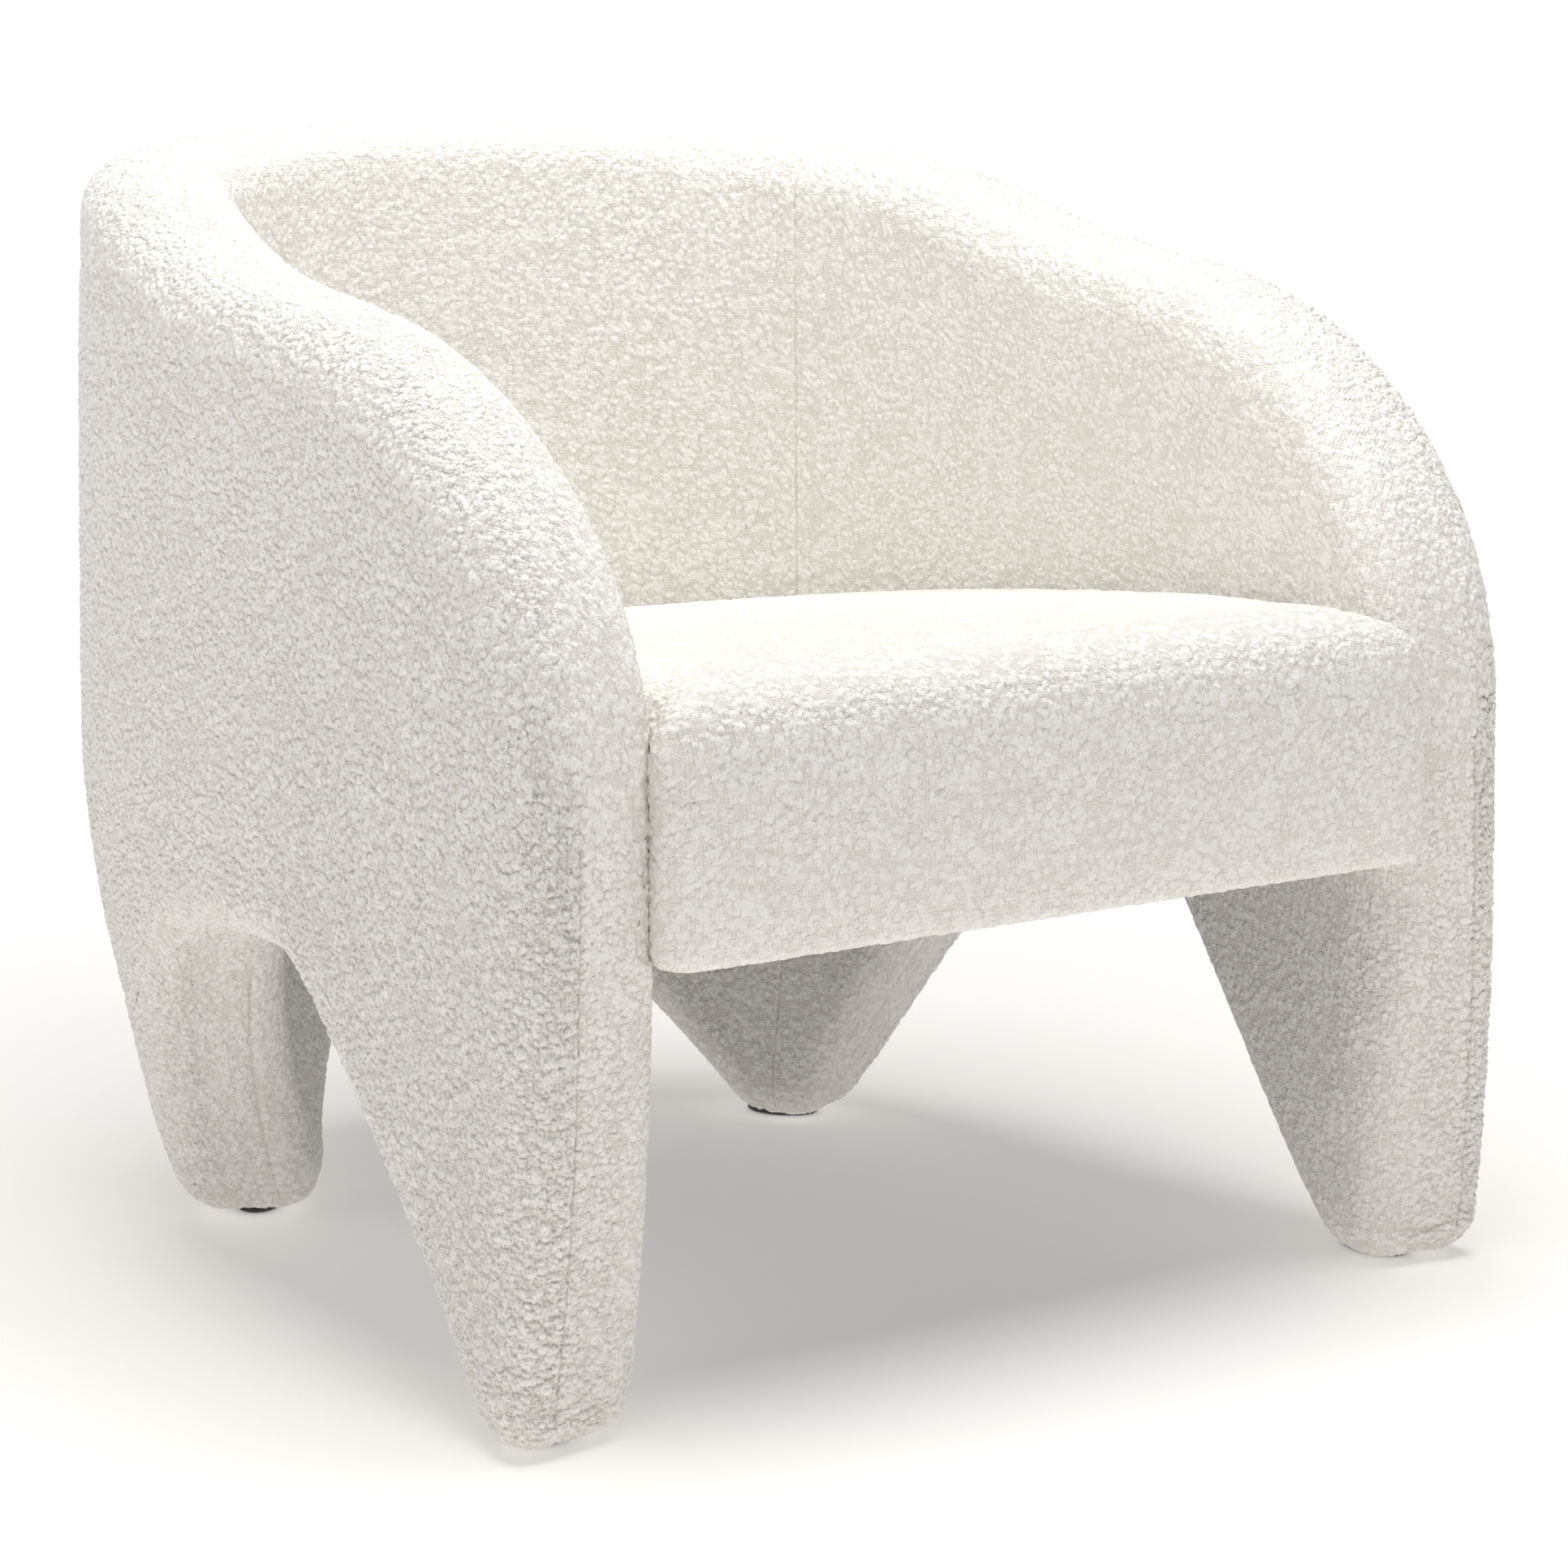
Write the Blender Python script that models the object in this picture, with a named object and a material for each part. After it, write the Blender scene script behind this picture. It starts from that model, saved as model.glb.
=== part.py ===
"""Barrel armchair, upholstered all over, built as separate pieces: one curved back and arm wall that
runs down into four wedge legs, a padded seat between the arms, and the frame inside them.
Metres, +Z up. The front faces -Y, +X is on the right of someone who looks at the front."""

import bmesh
import bpy
import numpy as np

# ---- driving dimensions ------------------------------------------------------------------------
# The wall is drawn as a flat pattern (u along it, z up) and bent around a mid curve. u is 0 at the
# middle of the back and WALL_LEN at the front end of each arm.
ARM_HALF_W = 0.331  # mid surface of an arm, from the centre plane
BACK_DEPTH = 0.432  # from the widest line to the mid surface of the back
CORNER_POWER = 2.61  # superellipse power of the two rear corners
ARM_LEN = 0.286  # straight part of an arm, in front of the widest line
ARM_TOE_IN = 0.019  # how far an arm's front end turns in
WIDEST_Y = -0.08592  # puts the finished chair about the origin, front to back

TOP_SHARES = (0.0, 0.22, 0.42, 0.62, 0.80)  # along the wall
TOP_HEIGHTS = (0.7065, 0.697, 0.6795, 0.6335, 0.640)  # of the top edge, before the shoulder
SHOULDER_SHARE = 0.546  # where the front shoulder starts
SHOULDER_POWER = 2.21
SHOULDER_END_Z = 0.342  # where the shoulder has turned into the upright front edge

WALL_T_ARM = 0.094
WALL_T_BACK = 0.083
RIM_R = 0.027  # rounding of the wall's long corners; the rim between them is flat

SIDE_NOTCH_REAR_U = 0.339  # where the side notch's edges would reach the floor
SIDE_NOTCH_FRONT_U = 0.8667
SIDE_NOTCH_REAR_SLOPE = 1.82
SIDE_NOTCH_FRONT_SLOPE = 1.20
SIDE_NOTCH_TOP = 0.254  # the arch that cuts them off, and how softly it meets them
SIDE_NOTCH_REAR_SOFT = 0.100
SIDE_NOTCH_FRONT_SOFT = 0.022
BACK_NOTCH_Z = 0.199
BACK_NOTCH_SOFT = 0.023
BACK_NOTCH_SLOPE = 0.834
NOTCH_HALF_STEP = 0.022  # pattern columns beside the top of a notch

LEAN_BACK = 0.017  # outward lean of the back per metre of height
LEAN_SIDE = -0.027
LEAN_FROM_Z = 0.30
LEG_TUCK_Z = 0.33  # below this the rear legs tuck in
LEG_TUCK = 0.062
FOOT_RECEDE = 0.020  # the front edge of a front leg steps back by this at the foot
FOOT_CORNER_R = 0.022

GAP = 0.0003  # between neighbouring pieces
COVER_T = 0.003
FOAM_T = 0.018
FOAM_RIM = 0.0155  # solid padding along the rims
GLIDE_H = 0.003
GLIDE_R = 0.0165  # across the wall
GLIDE_STRETCH = 1.6  # a glide is an oval, longer along the wall
NAIL_R = 0.0015
NAIL_LEN = 0.060
NAIL_ROOM = 0.0036  # half width left for the nail between the two halves of the padding

BOARD_T = 0.018
RAIL_T = 0.022
POST_T = 0.026
BACK_PLY_T = 0.009

SEAT_FRONT_OUT = 0.022  # the seat front stands this far in front of the arms
SEAT_FRONT_Z = 0.431
SEAT_BACK_Z = 0.360
SEAT_CROWN = 0.006
SEAT_BOTTOM_Z = 0.2715
SEAT_FRONT_R = 0.050  # rounding of the top edge at the front
SEAT_SIDE_R = 0.024  # and along the wall
SEAT_BOTTOM_R = 0.010
SEAT_WRAP = 0.87  # the sides follow the arms' rounded front corners through this angle, in radians
SEAT_EVEN_INSET = 0.006  # up to this a ring keeps its distance, and past it shrinks towards the middle
SEAT_GAP = 0.0075  # between the seat's side and the wall, with room for the wall's facets
FRONT_HALF_COUNT = 3  # outline points along half of the front
NOSE_COUNT = 5  # and around each of its corners
SEAT_FLANGE = 0.016  # the cover is folded under by this
SEAT_RAIL_Z = (0.2785, 0.3290)
WEB_T = 0.0018
WEB_W = 0.055
WEB_COUNT = 5
WEB_PITCH = 0.088
RAIL_INSET = 0.013
DUST_Z = (0.2738, 0.2750)

BOLT_R = 0.004
BOLT_HEAD_R = 0.0075
BOLT_HEAD_H = 0.0026
BOLT_Z = 0.312
BOLT_SIDE_Y = -0.245
BOLT_BACK_X = 0.10

CREAM = (0.86, 0.84, 0.80, 1.0)
FOAM_YELLOW = (0.88, 0.80, 0.55, 1.0)
PLY = (0.66, 0.50, 0.32, 1.0)
BEECH = (0.72, 0.55, 0.37, 1.0)
WEB_GREY = (0.32, 0.31, 0.29, 1.0)
BLACK = (0.02, 0.02, 0.022, 1.0)
STEEL = (0.55, 0.55, 0.56, 1.0)


# ---- the wall's pattern and its mid curve ------------------------------------------------------
def mid_curve(samples=900):
    """u, x and y of the mid curve from the middle of the back to the front end of the +X arm."""
    turn = np.linspace(0.0, np.pi / 2, samples)
    x_corner = ARM_HALF_W * np.sin(turn) ** (2 / CORNER_POWER)
    y_corner = WIDEST_Y + BACK_DEPTH * np.cos(turn) ** (2 / CORNER_POWER)
    share = np.linspace(0.0, 1.0, samples)[1:]
    x = np.r_[x_corner, ARM_HALF_W - ARM_TOE_IN * share**2]
    y = np.r_[y_corner, WIDEST_Y - ARM_LEN * share]
    u = np.r_[0.0, np.cumsum(np.hypot(np.diff(x), np.diff(y)))]
    return u, x, y


CURVE_U, CURVE_X, CURVE_Y = mid_curve()
WALL_LEN = CURVE_U[-1]


def smoothstep(value):
    value = np.clip(value, 0.0, 1.0)
    return value * value * (3 - 2 * value)


def through_points(shares, heights, at):
    """A smooth curve through the given heights, level at the first and straight after the last."""
    shares = np.asarray(shares)
    heights = np.asarray(heights)
    slopes = np.gradient(heights, shares)
    slopes[0] = 0.0
    k = np.clip(np.searchsorted(shares, at, side="right") - 1, 0, len(shares) - 2)
    width = shares[k + 1] - shares[k]
    t = np.clip((at - shares[k]) / width, 0.0, 1.0)
    value = (
        (2 * t**3 - 3 * t**2 + 1) * heights[k]
        + (t**3 - 2 * t**2 + t) * width * slopes[k]
        + (3 * t**2 - 2 * t**3) * heights[k + 1]
        + (t**3 - t**2) * width * slopes[k + 1]
    )
    return value + np.maximum(at - shares[-1], 0.0) * slopes[-1]


def top_edge(u):
    """Height of the wall's top edge."""
    u = np.abs(np.asarray(u, dtype=float))
    plain = through_points(TOP_SHARES, TOP_HEIGHTS, u / WALL_LEN)
    start = SHOULDER_SHARE * WALL_LEN
    share = np.clip((u - start) / (WALL_LEN - start), 0.0, 1.0)
    fall = (1 - share**SHOULDER_POWER) ** (1 / SHOULDER_POWER)
    return SHOULDER_END_Z + (plain - SHOULDER_END_Z) * fall


def smaller(a, b, soft):
    """The smaller of two heights, blended where they are close."""
    return 0.5 * (a + b - np.sqrt((a - b) ** 2 + soft**2))


def bottom_edge(u):
    """Height of the wall's bottom edge: two notches, and feet with rounded corners between them."""
    u = np.abs(np.asarray(u, dtype=float))
    side = smaller(SIDE_NOTCH_REAR_SLOPE * (u - SIDE_NOTCH_REAR_U), SIDE_NOTCH_TOP, SIDE_NOTCH_REAR_SOFT)
    side = smaller(side, SIDE_NOTCH_FRONT_SLOPE * (SIDE_NOTCH_FRONT_U - u), SIDE_NOTCH_FRONT_SOFT)
    back = BACK_NOTCH_Z + BACK_NOTCH_SOFT - np.hypot(BACK_NOTCH_SOFT, BACK_NOTCH_SLOPE * u)
    height = np.maximum(side, back)
    soft = FOOT_CORNER_R
    height = 0.5 * (height + np.sqrt(height**2 + soft**2))  # a smooth floor at zero
    height = height * smoothstep((height - 0.0) / soft) ** 0.5
    into_end = np.clip(u - (WALL_LEN - FOOT_CORNER_R), 0.0, FOOT_CORNER_R)
    height = np.maximum(height, FOOT_CORNER_R - np.sqrt(FOOT_CORNER_R**2 - into_end**2))
    return height + GLIDE_H + GAP


def pattern_outline():
    """The pattern's outline as a closed line of (u, z) points, from one front end to the other."""
    u = np.linspace(-WALL_LEN, WALL_LEN, 601)
    return np.r_[np.c_[u, top_edge(u)], np.c_[u[::-1], bottom_edge(u[::-1])]]


def inside_distance(u, z):
    """Distance from (u, z) to the pattern's outline, negative outside it."""
    line = pattern_outline()
    start = line
    step = np.roll(line, -1, axis=0) - line
    length_2 = np.maximum((step**2).sum(1), 1e-12)
    point = np.stack([np.ravel(u), np.ravel(z)], 1)
    away = point[:, None, :] - start[None]
    along = np.clip((away * step[None]).sum(2) / length_2[None], 0.0, 1.0)
    gap = away - along[..., None] * step[None]
    distance = np.sqrt((gap**2).sum(2)).min(1).reshape(np.shape(u))
    within = (np.abs(u) < WALL_LEN) & (z < top_edge(u)) & (z > bottom_edge(u))
    return np.where(within, distance, -distance)


def wall_thickness(u):
    share = smoothstep(1 - np.abs(u) / (0.55 * WALL_LEN))
    return WALL_T_ARM + (WALL_T_BACK - WALL_T_ARM) * share


def half_thickness(u, distance):
    """Half thickness of the wall, rounded towards the flat band along its outline."""
    reach = np.clip(distance / RIM_R, 0.0, 1.0)
    return wall_thickness(u) / 2 - RIM_R + RIM_R * np.sqrt(1 - (1 - reach) ** 2)


def wall_point(u, z, offset):
    """The point at (u, z) of the pattern, offset outwards from the mid surface."""
    run = np.abs(u)
    side = np.where(u < 0, -1.0, 1.0)
    front_share = np.clip((run / WALL_LEN - 0.75) / 0.25, 0.0, 1.0)
    run = run - FOOT_RECEDE * np.clip(1 - z / 0.25, 0.0, 1.0) ** 2 * front_share
    x = np.interp(run, CURVE_U, CURVE_X)
    y = np.interp(run, CURVE_U, CURVE_Y)
    eps = 0.001
    along_x = np.interp(run + eps, CURVE_U, CURVE_X) - np.interp(run - eps, CURVE_U, CURVE_X)
    along_y = np.interp(run + eps, CURVE_U, CURVE_Y) - np.interp(run - eps, CURVE_U, CURVE_Y)
    length = np.hypot(along_x, along_y)
    out_x = -along_y / length
    out_y = along_x / length
    back = np.clip(out_y, 0.0, 1.0) ** 2
    lean = (LEAN_BACK * back + LEAN_SIDE * (1 - back)) * (z - LEAN_FROM_Z)
    ahead = np.clip((np.abs(u) / WALL_LEN - 0.6) / 0.4, 0.0, 1.0)
    tuck = LEG_TUCK * (1 - ahead) * (np.clip(LEG_TUCK_Z - z, 0.0, None) / LEG_TUCK_Z) ** 1.5
    move = lean - tuck + offset
    return np.stack([side * (x + out_x * move), y + out_y * move, z + 0.0 * move], -1)


# ---- mesh helpers ------------------------------------------------------------------------------
def add_object(name, points, faces, colour, roughness=0.8, metallic=0.0):
    mesh = bpy.data.meshes.new(name)
    mesh.from_pydata([tuple(p) for p in points], [], faces)
    mesh.validate()
    bm = bmesh.new()
    bm.from_mesh(mesh)
    bmesh.ops.recalc_face_normals(bm, faces=bm.faces)
    bmesh.ops.triangulate(bm, faces=[f for f in bm.faces if len(f.verts) == 4])
    bm.to_mesh(mesh)
    bm.free()
    obj = bpy.data.objects.new(name, mesh)
    bpy.context.scene.collection.objects.link(obj)
    material = bpy.data.materials.new(name)
    material.use_nodes = True
    shader = material.node_tree.nodes["Principled BSDF"]
    shader.inputs["Base Color"].default_value = colour
    shader.inputs["Roughness"].default_value = roughness
    shader.inputs["Metallic"].default_value = metallic
    mesh.materials.append(material)
    return obj


def grid_faces(columns, rows, first, flip=False):
    """Quads of a columns by rows grid of points that starts at index first."""
    faces = []
    for i in range(columns - 1):
        for j in range(rows - 1):
            a = first + i * rows + j
            quad = (a, a + rows, a + rows + 1, a + 1)
            faces.append(quad[::-1] if flip else quad)
    return faces


def border(columns, rows, first):
    """Indices of a grid's border points, in order around it."""
    low = [first + i * rows for i in range(columns)]
    far = [first + (columns - 1) * rows + j for j in range(1, rows)]
    high = [first + i * rows + rows - 1 for i in range(columns - 2, -1, -1)]
    near = [first + j for j in range(rows - 2, 0, -1)]
    return low + far + high + near


def strip(ring_a, ring_b):
    """Quads between two closed rings of the same length."""
    count = len(ring_a)
    return [(ring_a[k], ring_a[(k + 1) % count], ring_b[(k + 1) % count], ring_b[k]) for k in range(count)]


# ---- the wall's padding and covers -------------------------------------------------------------
def wall_grid():
    """The (u, z) grid shared by every layer of the wall."""
    rear_in = (BACK_NOTCH_Z + BACK_NOTCH_SOFT) / BACK_NOTCH_SLOPE
    rear_knee = SIDE_NOTCH_REAR_U + SIDE_NOTCH_TOP / SIDE_NOTCH_REAR_SLOPE
    front_knee = SIDE_NOTCH_FRONT_U - SIDE_NOTCH_TOP / SIDE_NOTCH_FRONT_SLOPE
    front_in = SIDE_NOTCH_FRONT_U
    half = np.r_[
        [0.0, NOTCH_HALF_STEP],
        np.linspace(2.4 * NOTCH_HALF_STEP, rear_in, 4)[:-1],
        np.linspace(rear_in, SIDE_NOTCH_REAR_U, 4),
        np.linspace(SIDE_NOTCH_REAR_U, rear_knee - NOTCH_HALF_STEP, 4)[1:],
        np.linspace(rear_knee, NOTCH_U, 4),
        [front_knee - NOTCH_HALF_STEP, front_knee, front_knee + NOTCH_HALF_STEP],
        np.linspace(front_knee + NOTCH_HALF_STEP, front_in, 5)[1:],
        front_in + (WALL_LEN - front_in) * np.array([0.30, 0.58, 0.80, 0.94, 1.0]),
    ]
    u = np.r_[-half[:0:-1], half]
    low = bottom_edge(u)[:, None]
    high = top_edge(u)[:, None]
    edge_steps = np.array([0.0, 0.005, 0.015, 0.034])
    inner = np.linspace(0.0, 1.0, 6)[None, 1:-1]
    middle = low + edge_steps[-1] + (high - low - 2 * edge_steps[-1]) * inner
    z = np.c_[low + edge_steps, middle, high - edge_steps[::-1]]
    return np.repeat(u[:, None], z.shape[1], 1), z


def inward(u, z):
    """Unit direction of growing distance from the outline, in the pattern."""
    eps = 0.0015
    in_u = inside_distance(u + eps, z) - inside_distance(u - eps, z)
    in_z = inside_distance(u, z + eps) - inside_distance(u, z - eps)
    length = np.maximum(np.hypot(in_u, in_z), 1e-9)
    return in_u / length, in_z / length


def parting_half(u, z):
    """Half the parting gap between the outer and inner halves, wider around the glide nails."""
    run = np.abs(u)
    rear = smoothstep((0.065 - np.abs(run - REAR_GLIDE_U)) / 0.03)
    front = smoothstep((0.065 - np.abs(run - FRONT_GLIDE_U)) / 0.03)
    low = smoothstep((0.10 - z) / 0.04)
    return GAP + (NAIL_ROOM - GAP) * low * np.maximum(rear, front)


def layer(u, z, depth):
    """The wall surface moved in by depth: u, z and half thickness at each grid point."""
    distance = np.maximum(inside_distance(u, z), 0.0)
    half = half_thickness(u, distance)
    step = 0.0008
    slope = (half_thickness(u, distance + step) - half) / step
    in_u, in_z = inward(u, z)
    length = np.sqrt(1 + slope**2)
    on_edge = np.zeros(u.shape, dtype=bool)
    on_edge[:, 0] = on_edge[:, -1] = on_edge[0, :] = on_edge[-1, :] = True
    share = np.where(on_edge, 1.0, slope / length)
    drop = np.where(on_edge, 0.0, 1 / length)
    moved_half = np.maximum(half - depth * drop, parting_half(u, z) + 0.0012)
    return u + in_u * depth * share, z + in_z * depth * share, moved_half


def cover_object(name, side, colour):
    """One half of the wall's cover: side +1 is the outer half, -1 the inner half."""
    u, z = wall_grid()
    columns, rows = u.shape
    grids = []
    rings = []
    for depth in (0.0, COVER_T):
        lu, lz, lh = layer(u, z, depth)
        grids.append(wall_point(lu, lz, side * lh).reshape(-1, 3))
        rings.append(wall_point(lu, lz, side * parting_half(u, z)).reshape(-1, 3))
    count = columns * rows
    edge = border(columns, rows, 0)
    points = np.r_[grids[0], grids[1], rings[0][edge], rings[1][edge]]
    ring_a = [2 * count + k for k in range(len(edge))]
    ring_b = [2 * count + len(edge) + k for k in range(len(edge))]
    faces = grid_faces(columns, rows, 0)
    faces += grid_faces(columns, rows, count, flip=True)
    faces += strip(edge, ring_a)
    faces += strip(ring_a, ring_b)
    faces += strip(ring_b, [k + count for k in edge])
    return add_object(name, points, faces, colour)


def foam_object(name, side, first, last):
    """A piece of the wall's padding, between the pattern columns first and last. Its inner side is
    hollowed out for the frame, and its cut ends keep a gap to the next piece."""
    u, z = wall_grid()
    lu, lz, outer = layer(u, z, COVER_T + GAP)
    room = wall_thickness(u) / 2 - COVER_T - GAP - FOAM_T
    inner = np.where(inside_distance(u, z) > FOAM_RIM, room, parting_half(u, z))
    lu[first] += GAP if first > 0 else 0.0
    lu[last] -= GAP if last < len(u) - 1 else 0.0
    kept = slice(first, last + 1)
    grids = [wall_point(lu[kept], lz[kept], side * half[kept]).reshape(-1, 3) for half in (outer, inner)]
    columns = last - first + 1
    rows = u.shape[1]
    count = columns * rows
    edge = border(columns, rows, 0)
    faces = grid_faces(columns, rows, 0)
    faces += grid_faces(columns, rows, count, flip=True)
    faces += strip(edge, [k + count for k in edge])
    return add_object(name, np.concatenate(grids), faces, FOAM_YELLOW)


# ---- boards that follow the wall ---------------------------------------------------------------
def inset_top(u, margin):
    """Top edge lowered by margin all round."""
    reach = np.linspace(-margin, margin, 9)
    return np.min([top_edge(np.clip(np.abs(u) + r, 0.0, WALL_LEN)) for r in reach], axis=0) - margin


def inset_bottom(u, margin):
    reach = np.linspace(-margin, margin, 9)
    return np.max([bottom_edge(np.clip(np.abs(u) + r, 0.0, WALL_LEN)) for r in reach], axis=0) + margin


def board(name, u, low, high, thick, colour, rows=2):
    """A board bent to the wall, through the columns u, between the heights low and high."""
    share = np.linspace(0.0, 1.0, rows)
    z = low[:, None] + (high - low)[:, None] * share
    wide_u = np.repeat(u[:, None], rows, 1)
    sides = [wall_point(wide_u, z, side * thick / 2 + 0.0 * z).reshape(-1, 3) for side in (1, -1)]
    count = z.size
    edge = border(len(u), rows, 0)
    faces = grid_faces(len(u), rows, 0)
    faces += grid_faces(len(u), rows, count, flip=True)
    faces += strip(edge, [k + count for k in edge])
    return add_object(name, np.concatenate(sides), faces, colour, 0.6)


def box(name, low, high, colour, roughness=0.6, metallic=0.0):
    points = [(x, y, z) for z in (low[2], high[2]) for y in (low[1], high[1]) for x in (low[0], high[0])]
    faces = [(0, 1, 3, 2), (4, 6, 7, 5), (0, 4, 5, 1), (2, 3, 7, 6), (0, 2, 6, 4), (1, 5, 7, 3)]
    return add_object(name, points, faces, colour, roughness, metallic)


def turned(name, rings, axis, start, colour, sides=16, roughness=0.4, metallic=0.0):
    """A turned piece: rings of (distance along the axis, radius), closed at both ends."""
    axis = np.asarray(axis, dtype=float)
    side_a = np.cross(axis, (0.3, 0.5, 0.81))
    side_a /= np.linalg.norm(side_a)
    side_b = np.cross(axis, side_a)
    angle = np.arange(sides) * 2 * np.pi / sides
    points = []
    for along, radius in rings:
        circle = np.outer(np.cos(angle), side_a) + np.outer(np.sin(angle), side_b)
        points.append(np.asarray(start) + axis * along + radius * circle)
    faces = [tuple(range(sides))[::-1]]
    for r in range(len(rings) - 1):
        faces += strip([r * sides + k for k in range(sides)], [(r + 1) * sides + k for k in range(sides)])
    faces.append(tuple((len(rings) - 1) * sides + k for k in range(sides)))
    return add_object(name, np.concatenate(points), faces, colour, roughness, metallic)


def drill(target, name, start, end, radius):
    """Bores a hole through target with a hidden cutter."""
    start = np.asarray(start, dtype=float)
    run = np.asarray(end, dtype=float) - start
    length = np.linalg.norm(run)
    cutter = turned("cut_" + name, [(0.0, radius), (length, radius)], run / length, start, STEEL, 12)
    cutter.hide_render = True
    cutter.display_type = "WIRE"
    hole = target.modifiers.new("hole", "BOOLEAN")
    hole.operation = "DIFFERENCE"
    hole.solver = "EXACT"
    hole.object = cutter


# ---- the seat ----------------------------------------------------------------------------------
def seat_outline():
    """The seat's outline in plan, clear of the wall, from the front left corner round the back."""
    level = 0.5 * (SEAT_BOTTOM_Z + SEAT_FRONT_Z)
    straight = np.linspace(0.0, WALL_LEN - RIM_R, 15)
    wrap = np.linspace(0.0, SEAT_WRAP, 4)[1:]
    reach = RIM_R + SEAT_GAP
    run = np.r_[straight, WALL_LEN - RIM_R + reach * np.sin(wrap)]
    inwards = np.r_[wall_thickness(straight) / 2 + SEAT_GAP, WALL_T_ARM / 2 - RIM_R + reach * np.cos(wrap)]
    wall = wall_point(-run[::-1], np.full(run.shape, level), -inwards[::-1])[:, :2]
    wall[:, 1] -= np.maximum(run[::-1] - WALL_LEN, 0.0)
    # From the end of the wrap, one arc turns to face the front.
    nose = (wall[0, 1] - SEAT_FRONT_Y) / (1 + np.sin(SEAT_WRAP))
    centre = wall[0] + nose * np.array([np.cos(SEAT_WRAP), -np.sin(SEAT_WRAP)])
    turn = np.linspace(-np.pi / 2, SEAT_WRAP, NOSE_COUNT + 1)[:-1]
    corner = centre + nose * np.c_[-np.cos(turn), np.sin(turn)]
    front_left = np.r_[corner, wall]
    half_front = np.linspace(0.0, corner[0, 0], FRONT_HALF_COUNT + 1)[:-1]
    front = np.c_[half_front, np.full(half_front.shape, SEAT_FRONT_Y)]
    left = np.r_[front, front_left]
    right = left[-2:0:-1] * np.array([-1.0, 1.0])
    return np.r_[left, right]


def seat_top_z(y):
    """Height of the crowned seat top at y."""
    share = (y - SEAT_FRONT_Y) / (SEAT_REAR_Y - SEAT_FRONT_Y)
    return SEAT_FRONT_Z + (SEAT_BACK_Z - SEAT_FRONT_Z) * share + SEAT_CROWN * np.sin(np.pi * np.clip(share, 0, 1))


def seat_edge_r(y):
    """Rounding radius of the seat's top edge at y: large at the front, small along the wall."""
    share = smoothstep((y - SEAT_FRONT_Y) / 0.22)
    return SEAT_FRONT_R + (SEAT_SIDE_R - SEAT_FRONT_R) * share


def seat_ring(outline, inset, drop, floor=None):
    """The outline moved in by inset, at drop below the top surface or at a fixed floor height."""
    after = np.roll(outline, -1, axis=0) - np.roll(outline, 1, axis=0)
    normal = np.c_[after[:, 1], -after[:, 0]] / np.linalg.norm(after, axis=1)[:, None]
    inset = np.broadcast_to(np.reshape(inset, (-1, 1)), (len(outline), 1))
    straight = np.minimum(inset, SEAT_EVEN_INSET)
    middle = np.array([0.0, 0.5 * (SEAT_FRONT_Y + SEAT_REAR_Y)])
    half_width = np.abs(outline[:, 0]).max()
    plan = outline + normal * straight + (middle - outline) * (inset - straight) / half_width
    z = seat_top_z(plan[:, 1]) - drop if floor is None else np.full(len(plan), floor)
    return np.c_[plan, z]


def seat_rings(outline, depth, low_z, low_r):
    """Rings of the seat's skin from its lower edge to the last ring of the top, moved in by depth."""
    rings = []
    if low_r > 0:
        for turn in (0.0, 0.5, 1.0):
            angle = turn * np.pi / 2
            bend = low_r * (1 - np.sin(angle))
            rings.append(seat_ring(outline, depth + bend, 0.0, low_z + low_r * (1 - np.cos(angle))))
    else:
        rings.append(seat_ring(outline, depth, 0.0, low_z))
    radius = seat_edge_r(outline[:, 1]) - depth
    for turn in (0.0, 0.3, 0.6, 0.85):
        angle = turn * np.pi / 2
        rings.append(seat_ring(outline, depth + radius * (1 - np.cos(angle)), depth + radius * (1 - np.sin(angle))))
    middle = np.array([0.0, 0.5 * (SEAT_FRONT_Y + SEAT_REAR_Y)])
    last = rings[-1][:, :2]
    for share in (0.25, 0.6):
        plan = last + (middle - last) * share
        rings.append(np.c_[plan, seat_top_z(plan[:, 1]) - depth])
    return rings, np.r_[middle, seat_top_z(middle[1]) - depth]


def ring_faces(count, size, first=0):
    faces = []
    for r in range(count - 1):
        a = first + r * size
        faces += strip([a + k for k in range(size)], [a + size + k for k in range(size)])
    return faces


def fan(ring_first, size, centre):
    return [(ring_first + k, ring_first + (k + 1) % size, centre) for k in range(size)]


def seat_cover_object(name, outline, colour):
    """The cover: a skin over the top and sides, folded under at its lower edge."""
    size = len(outline)
    outer, outer_mid = seat_rings(outline, 0.0, SEAT_BOTTOM_Z, SEAT_BOTTOM_R)
    outer.insert(0, seat_ring(outline, SEAT_FLANGE, 0.0, SEAT_BOTTOM_Z))
    inner, inner_mid = seat_rings(outline, COVER_T, SEAT_BOTTOM_Z + COVER_T, SEAT_BOTTOM_R - COVER_T)
    inner.insert(0, seat_ring(outline, SEAT_FLANGE, 0.0, SEAT_BOTTOM_Z + COVER_T))
    count = len(outer)
    points = np.concatenate(outer + inner + [outer_mid[None], inner_mid[None]])
    faces = ring_faces(count, size)
    faces += [face[::-1] for face in ring_faces(count, size, count * size)]
    faces += strip([k for k in range(size)], [count * size + k for k in range(size)])
    faces += fan((count - 1) * size, size, 2 * count * size)
    faces += [face[::-1] for face in fan((2 * count - 1) * size, size, 2 * count * size + 1)]
    return add_object(name, points, faces, colour)


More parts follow.
